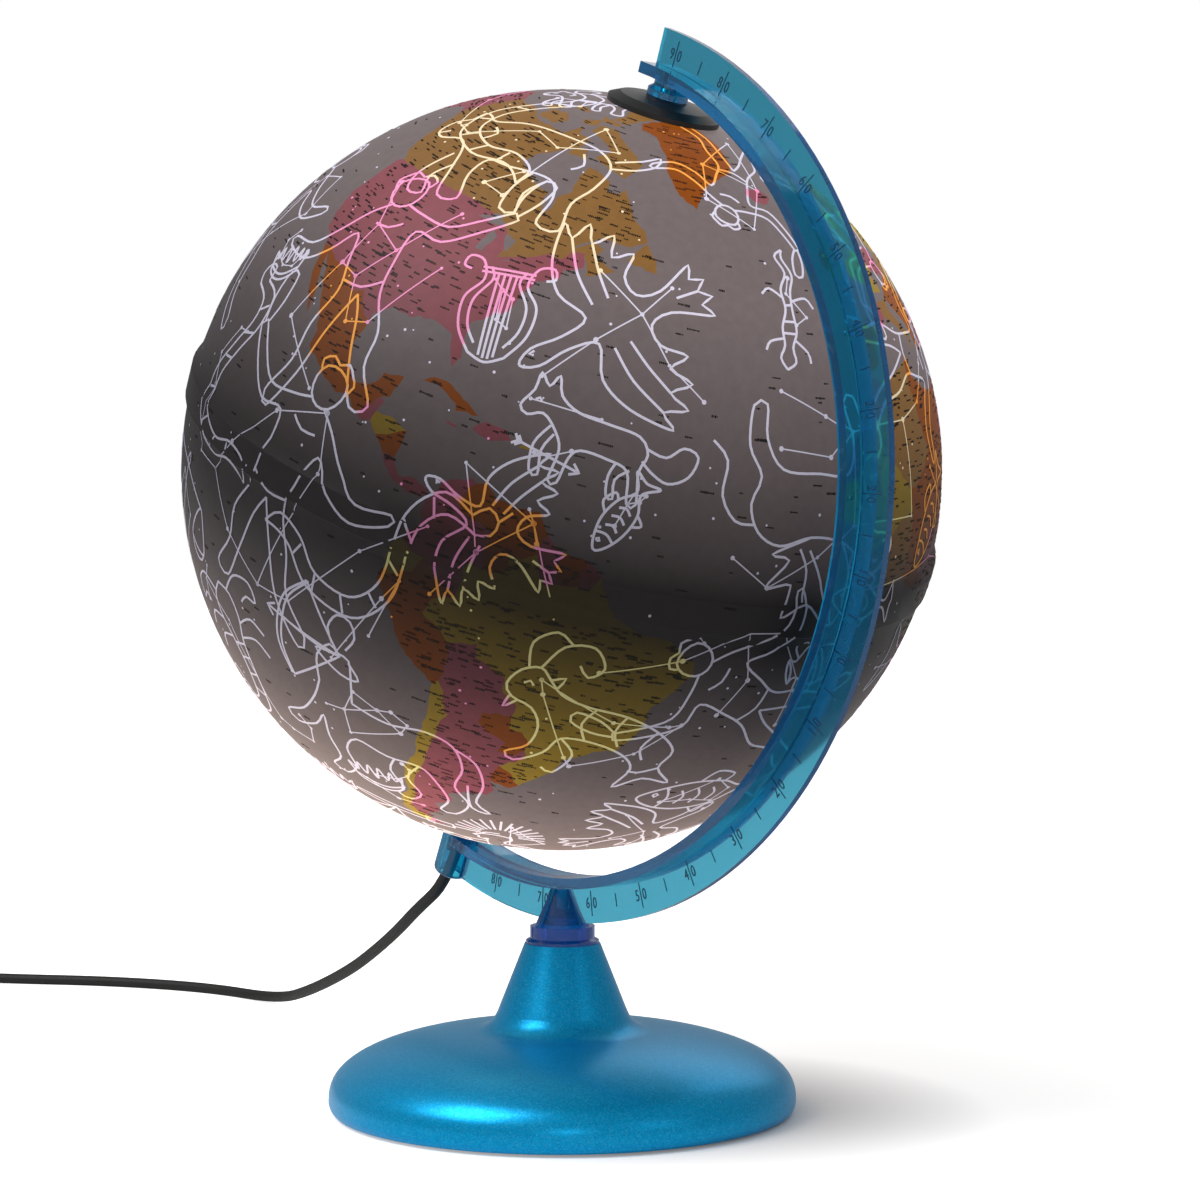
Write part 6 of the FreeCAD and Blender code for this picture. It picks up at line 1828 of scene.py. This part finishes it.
@dataclass(frozen=True)
class RibbedTaper:
    """A tapered strain relief with ribs round it; in millimetres from its root.

    The root, a rib and the tip are heights and radii. A rib's heights are past its own start
    and its radii are less than its own, which shrinks by the taper from rib to rib.
    """

    root: tuple
    ribs: int
    pitch: float
    first_at: float
    first_radius: float
    taper: float
    rib: tuple
    tip: tuple

    def mould(self, name: str, start: Vector, end: Vector) -> bpy.types.Object:
        """Moulds one round a cord.

        Args:
            name: The piece's name.
            start: The middle of its root.
            end: What it points at.

        Returns:
            The piece, in place.
        """
        stations = list(self.root)
        for i in range(self.ribs):
            at = self.first_at + i * self.pitch
            ring = self.first_radius - i * self.taper
            stations += [(at + up, ring - less) for up, less in self.rib]
        stations += self.tip
        piece = extruded(name, [(up * MM, radius * MM) for up, radius in stations])
        stand_along(piece, start, end)
        smooth(piece, 35.0)
        return piece


SWITCH_SLEEVE = RibbedTaper(
    root=((0.0, 4.4),), ribs=8, pitch=2.4, first_at=1.6, first_radius=4.3, taper=0.2,
    rib=((0.0, 0.0), (0.3, 0.7), (1.1, 0.75), (1.4, 0.1)), tip=((20.4, 2.7), (20.8, 2.4)),
)
PLUG_RELIEF = RibbedTaper(
    root=((0.0, 5.2), (2.0, 5.1)), ribs=7, pitch=2.6, first_at=2.4, first_radius=4.9, taper=0.29,
    rib=((0.0, 0.8), (1.1, 0.85), (1.4, 0.0), (2.3, 0.1)), tip=((21.4, 2.6),),
)


def dress_nodes(material: bpy.types.Material, *names: str) -> None:
    """Gives CAD nodes a finish."""
    for name in names:
        dress(frame["nodes"][name], material)


@dataclass
class RoundBase:
    """The domed foot with its cover, cast weight, screws and rubber pads."""

    def build(self) -> None:
        """Dresses the foot's pieces."""
        dress_nodes(PearlPlastic().make(), "base_shell")
        dress_nodes(BLACK_ABS.make(), "base_cover")
        dress_nodes(IRON.make(), "base_weight")
        dress_nodes(STEEL.make(), "cover_screws", "foot_screw", "foot_washer")
        dress_nodes(FOOT_RUBBER.make(), "rubber_feet")


@dataclass
class MeridianArm:
    """The clear blue arm, its collar, and the moulded scale of degrees along its web."""

    web_face: float = -1.2 * MM
    proud: float = 0.22 * MM
    tick_width: float = 0.32 * MM
    long_tick: tuple = (138.4 * MM, 146.8 * MM)
    short_tick: tuple = (140.0 * MM, 144.4 * MM)
    numeral_middle: float = 142.4 * MM
    numeral_height: float = 3.7 * MM
    numeral_shift: float = 1.75 * MM
    # A capital's share of the type's size, and how far the figures are narrowed.
    capital: float = 0.7
    narrow: float = 0.72
    # How far the marks stand into the web's face, and the softening of a tick's edges.
    sunk: float = 0.06 * MM
    softened: float = 0.06 * MM
    # Degrees from the equator: the scale's ends, and its ticks' spacing.
    first: int = -80
    last: int = 90
    step: int = 5

    def on_web(self, angle: float) -> tuple[Vector, Vector]:
        """Gives the ways outward and onward along the arm.

        Args:
            angle: Degrees from the equator, north positive.

        Returns:
            Both directions there, one long.
        """
        turn = math.radians(angle)
        outward = OUTWARD * math.cos(turn) + AXIS * math.sin(turn)
        onward = AXIS * math.cos(turn) - OUTWARD * math.sin(turn)
        return outward, onward

    def tick(self, angle: float, reach: tuple[float, float]) -> bpy.types.Object:
        """Moulds one tick: a fine bar with softened edges.

        Args:
            angle: Degrees from the equator, north positive.
            reach: Inner and outer radius.

        Returns:
            The tick, in place.
        """
        outward, onward = self.on_web(angle)
        bpy.ops.object.select_all(action="DESELECT")
        bpy.ops.mesh.primitive_cube_add(size=1.0)
        bar = bpy.context.object
        bar.scale = (reach[1] - reach[0], self.tick_width, self.proud + self.sunk)
        settle(bar)
        bpy.ops.object.mode_set(mode="EDIT")
        bpy.ops.mesh.select_all(action="SELECT")
        bpy.ops.mesh.bevel(offset=self.softened, segments=1)
        bpy.ops.object.mode_set(mode="OBJECT")
        middle = CENTRE + outward * (sum(reach) / 2)
        middle += ACROSS * (self.web_face - (self.proud - self.sunk) / 2)
        bar.data.transform(self.standing(outward, onward, -ACROSS, middle))
        return bar

    def standing(self, x: Vector, y: Vector, z: Vector, at: Vector) -> Matrix:
        """Makes the matrix with those axes and origin."""
        turn = Matrix((x, y, z)).transposed().to_4x4()
        return Matrix.Translation(at) @ turn

    def digit(self, figure: str) -> bpy.types.Object:
        """Moulds one figure of the scale, flat on the origin.

        Args:
            figure: A digit from 0 to 9.

        Returns:
            Its mesh, centred.
        """
        bpy.ops.object.select_all(action="DESELECT")
        bpy.ops.object.text_add()
        text = bpy.context.object
        text.data.body = figure
        text.data.align_x, text.data.align_y = "CENTER", "CENTER"
        text.data.size = self.numeral_height / self.capital
        text.data.extrude = self.proud / 2
        text.data.resolution_u = 3
        bpy.ops.object.convert(target="MESH")
        made = bpy.context.object
        corners = [v.co for v in made.data.vertices]
        middle_x, middle_y = (
            (min(c[axis] for c in corners) + max(c[axis] for c in corners)) / 2 for axis in (0, 1)
        )
        centred = Matrix.Translation((-middle_x, -middle_y, 0.0))
        made.data.transform(Matrix.Diagonal((self.narrow, 1.0, 1.0, 1.0)) @ centred)
        return made

    def build(self) -> None:
        """Dresses the arm and moulds its scale."""
        dress_nodes(CLEAR_BLUE.make(), "meridian_arm", "north_pivot_spool")
        dress_nodes(COLLAR_BLUE.make(), "arm_collar")
        parts = []
        figures = {f: self.digit(f) for f in "0123456789"}
        for angle in range(self.first, self.last + 1, self.step):
            on_ten = angle % 10 == 0
            parts.append(self.tick(angle, self.long_tick if on_ten else self.short_tick))
            if not on_ten:
                continue
            outward, onward = self.on_web(angle)
            north = 1 if angle >= 0 else -1
            for side, figure in zip((-1, 1), f"{abs(angle):02d}"):
                if angle == 0 and side < 0:
                    continue
                copy = figures[figure].copy()
                copy.data = figures[figure].data.copy()
                bpy.context.scene.collection.objects.link(copy)
                middle = CENTRE + outward * self.numeral_middle
                middle += onward * (-north * side * self.numeral_shift)
                middle += ACROSS * (self.web_face - self.proud / 2 + self.sunk)
                copy.data.transform(
                    self.standing(onward * -north, outward * north, -ACROSS, middle)
                )
                parts.append(copy)
        for figure in figures.values():
            bpy.data.objects.remove(figure)
        scale = joined("arm_degree_scale", parts)
        dress(scale, SCALE_INK.make())
        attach(scale, "stand")


@dataclass
class NorthPivot:
    """The pivot under the arm's north end: the ball's black cap, its bush and the pin."""

    def build(self) -> None:
        """Dresses the pivot's pieces."""
        dress_nodes(BLACK_ABS.make(), "north_pole_cap")
        dress_nodes(NYLON.make(), "north_bush", "south_bush", "equator_joining_ring")
        dress_nodes(STEEL.make(), "north_pivot_pin")


@dataclass
class LampInside:
    """The lamp on the south spigot, inside the ball."""

    def build(self) -> None:
        """Dresses the lamp's pieces."""
        dress_nodes(HOLDER_PLASTIC.make(), "lampholder_body", "cord_grip")
        dress_nodes(BRASS.make(), "lampholder_screw_shell", "lampholder_centre_contact", "bulb_cap")
        dress_nodes(LAMP_GLASS.make(), "bulb_glass")
        dress_nodes(STEEL.make(), "bulb_filament")
        dress_nodes(CORD_PVC.make(), "internal_lead")


@dataclass
class InlineSwitch:
    """The rocker switch on the cord, with a ribbed sleeve at each end; in millimetres."""

    length: float = 56.0
    sleeve: float = 20.0
    back: float = 270.0
    height: float = 6.5
    near: float = 286.0
    # How far a sleeve's root stands in the case.
    sunk: float = 0.6

    def sleeve_at(self, name: str, left: float, way: int, end_up: float) -> bpy.types.Object:
        """Moulds one sleeve round the cord.

        Args:
            name: The piece's name.
            left: Where it leaves the switch, in millimetres left.
            way: Which way it runs, 1 being leftward.
            end_up: The cord's height at its far end, in millimetres.

        Returns:
            The sleeve.
        """
        start = on_table(left - way * self.sunk, self.back, self.height)
        end = on_table(left + way * self.sleeve, self.back, end_up)
        return SWITCH_SLEEVE.mould(name, start, end)

    def build(self) -> list[bpy.types.Object]:
        """Dresses the switch and adds its sleeves.

        Returns:
            Both sleeves.
        """
        shell = SWITCH_PLASTIC.make()
        dress_nodes(shell, "switch_lower_housing", "switch_upper_housing")
        dress_nodes(BLACK_ABS.make(), "switch_rocker")
        dress_nodes(STEEL.make(), "switch_screws")
        dress_nodes(BRASS.make(), "switch_contacts")
        sleeves = [
            self.sleeve_at("switch_sleeve_globe_side", self.near, -1, 3.0),
            self.sleeve_at("switch_sleeve_plug_side", self.near + self.length, 1, 3.4),
        ]
        for sleeve in sleeves:
            dress(sleeve, shell)
            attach(sleeve, "stand")
        return sleeves


@dataclass
class MainsPlug:
    """The two-pin plug lying by the coil, with a tapered ribbed relief; in millimetres."""

    left: float = 336.0
    back: float = 325.66
    height: float = 6.9

    def build(self) -> list[bpy.types.Object]:
        """Dresses the plug and adds its strain relief.

        Returns:
            The relief, in a list.
        """
        pvc = PLUG_PVC.make()
        dress_nodes(pvc, "plug_body")
        dress_nodes(BRASS.make(), "plug_pins")
        start = on_table(self.left - 1.0, self.back, self.height - 0.1)
        end = on_table(self.left + 17.0, self.back + 0.7, self.height + 2.2)
        relief = PLUG_RELIEF.mould("plug_strain_relief", start, end)
        dress(relief, pvc)
        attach(relief, "stand")
        return [relief]


def main() -> None:
    """Builds the studio and then each sub-assembly of the globe, and reports every piece."""
    logging.basicConfig(level=logging.INFO, format="%(name)s: %(message)s")
    Studio().build()
    sleeves = InlineSwitch().build()
    relief = MainsPlug().build()
    FlexCord().build(CORD_PVC.make(), sleeves, relief)
    for assembly in (RoundBase(), MeridianArm(), NorthPivot(), LampInside(), PrintedBall()):
        assembly.build()
    for piece in bpy.context.scene.objects:
        if piece.type in ("MESH", "CURVE"):
            finishes = ", ".join(m.name for m in piece.data.materials if m)
            LOG.info("%s: %s", piece.name, finishes)


if __name__ == "__main__":
    main()
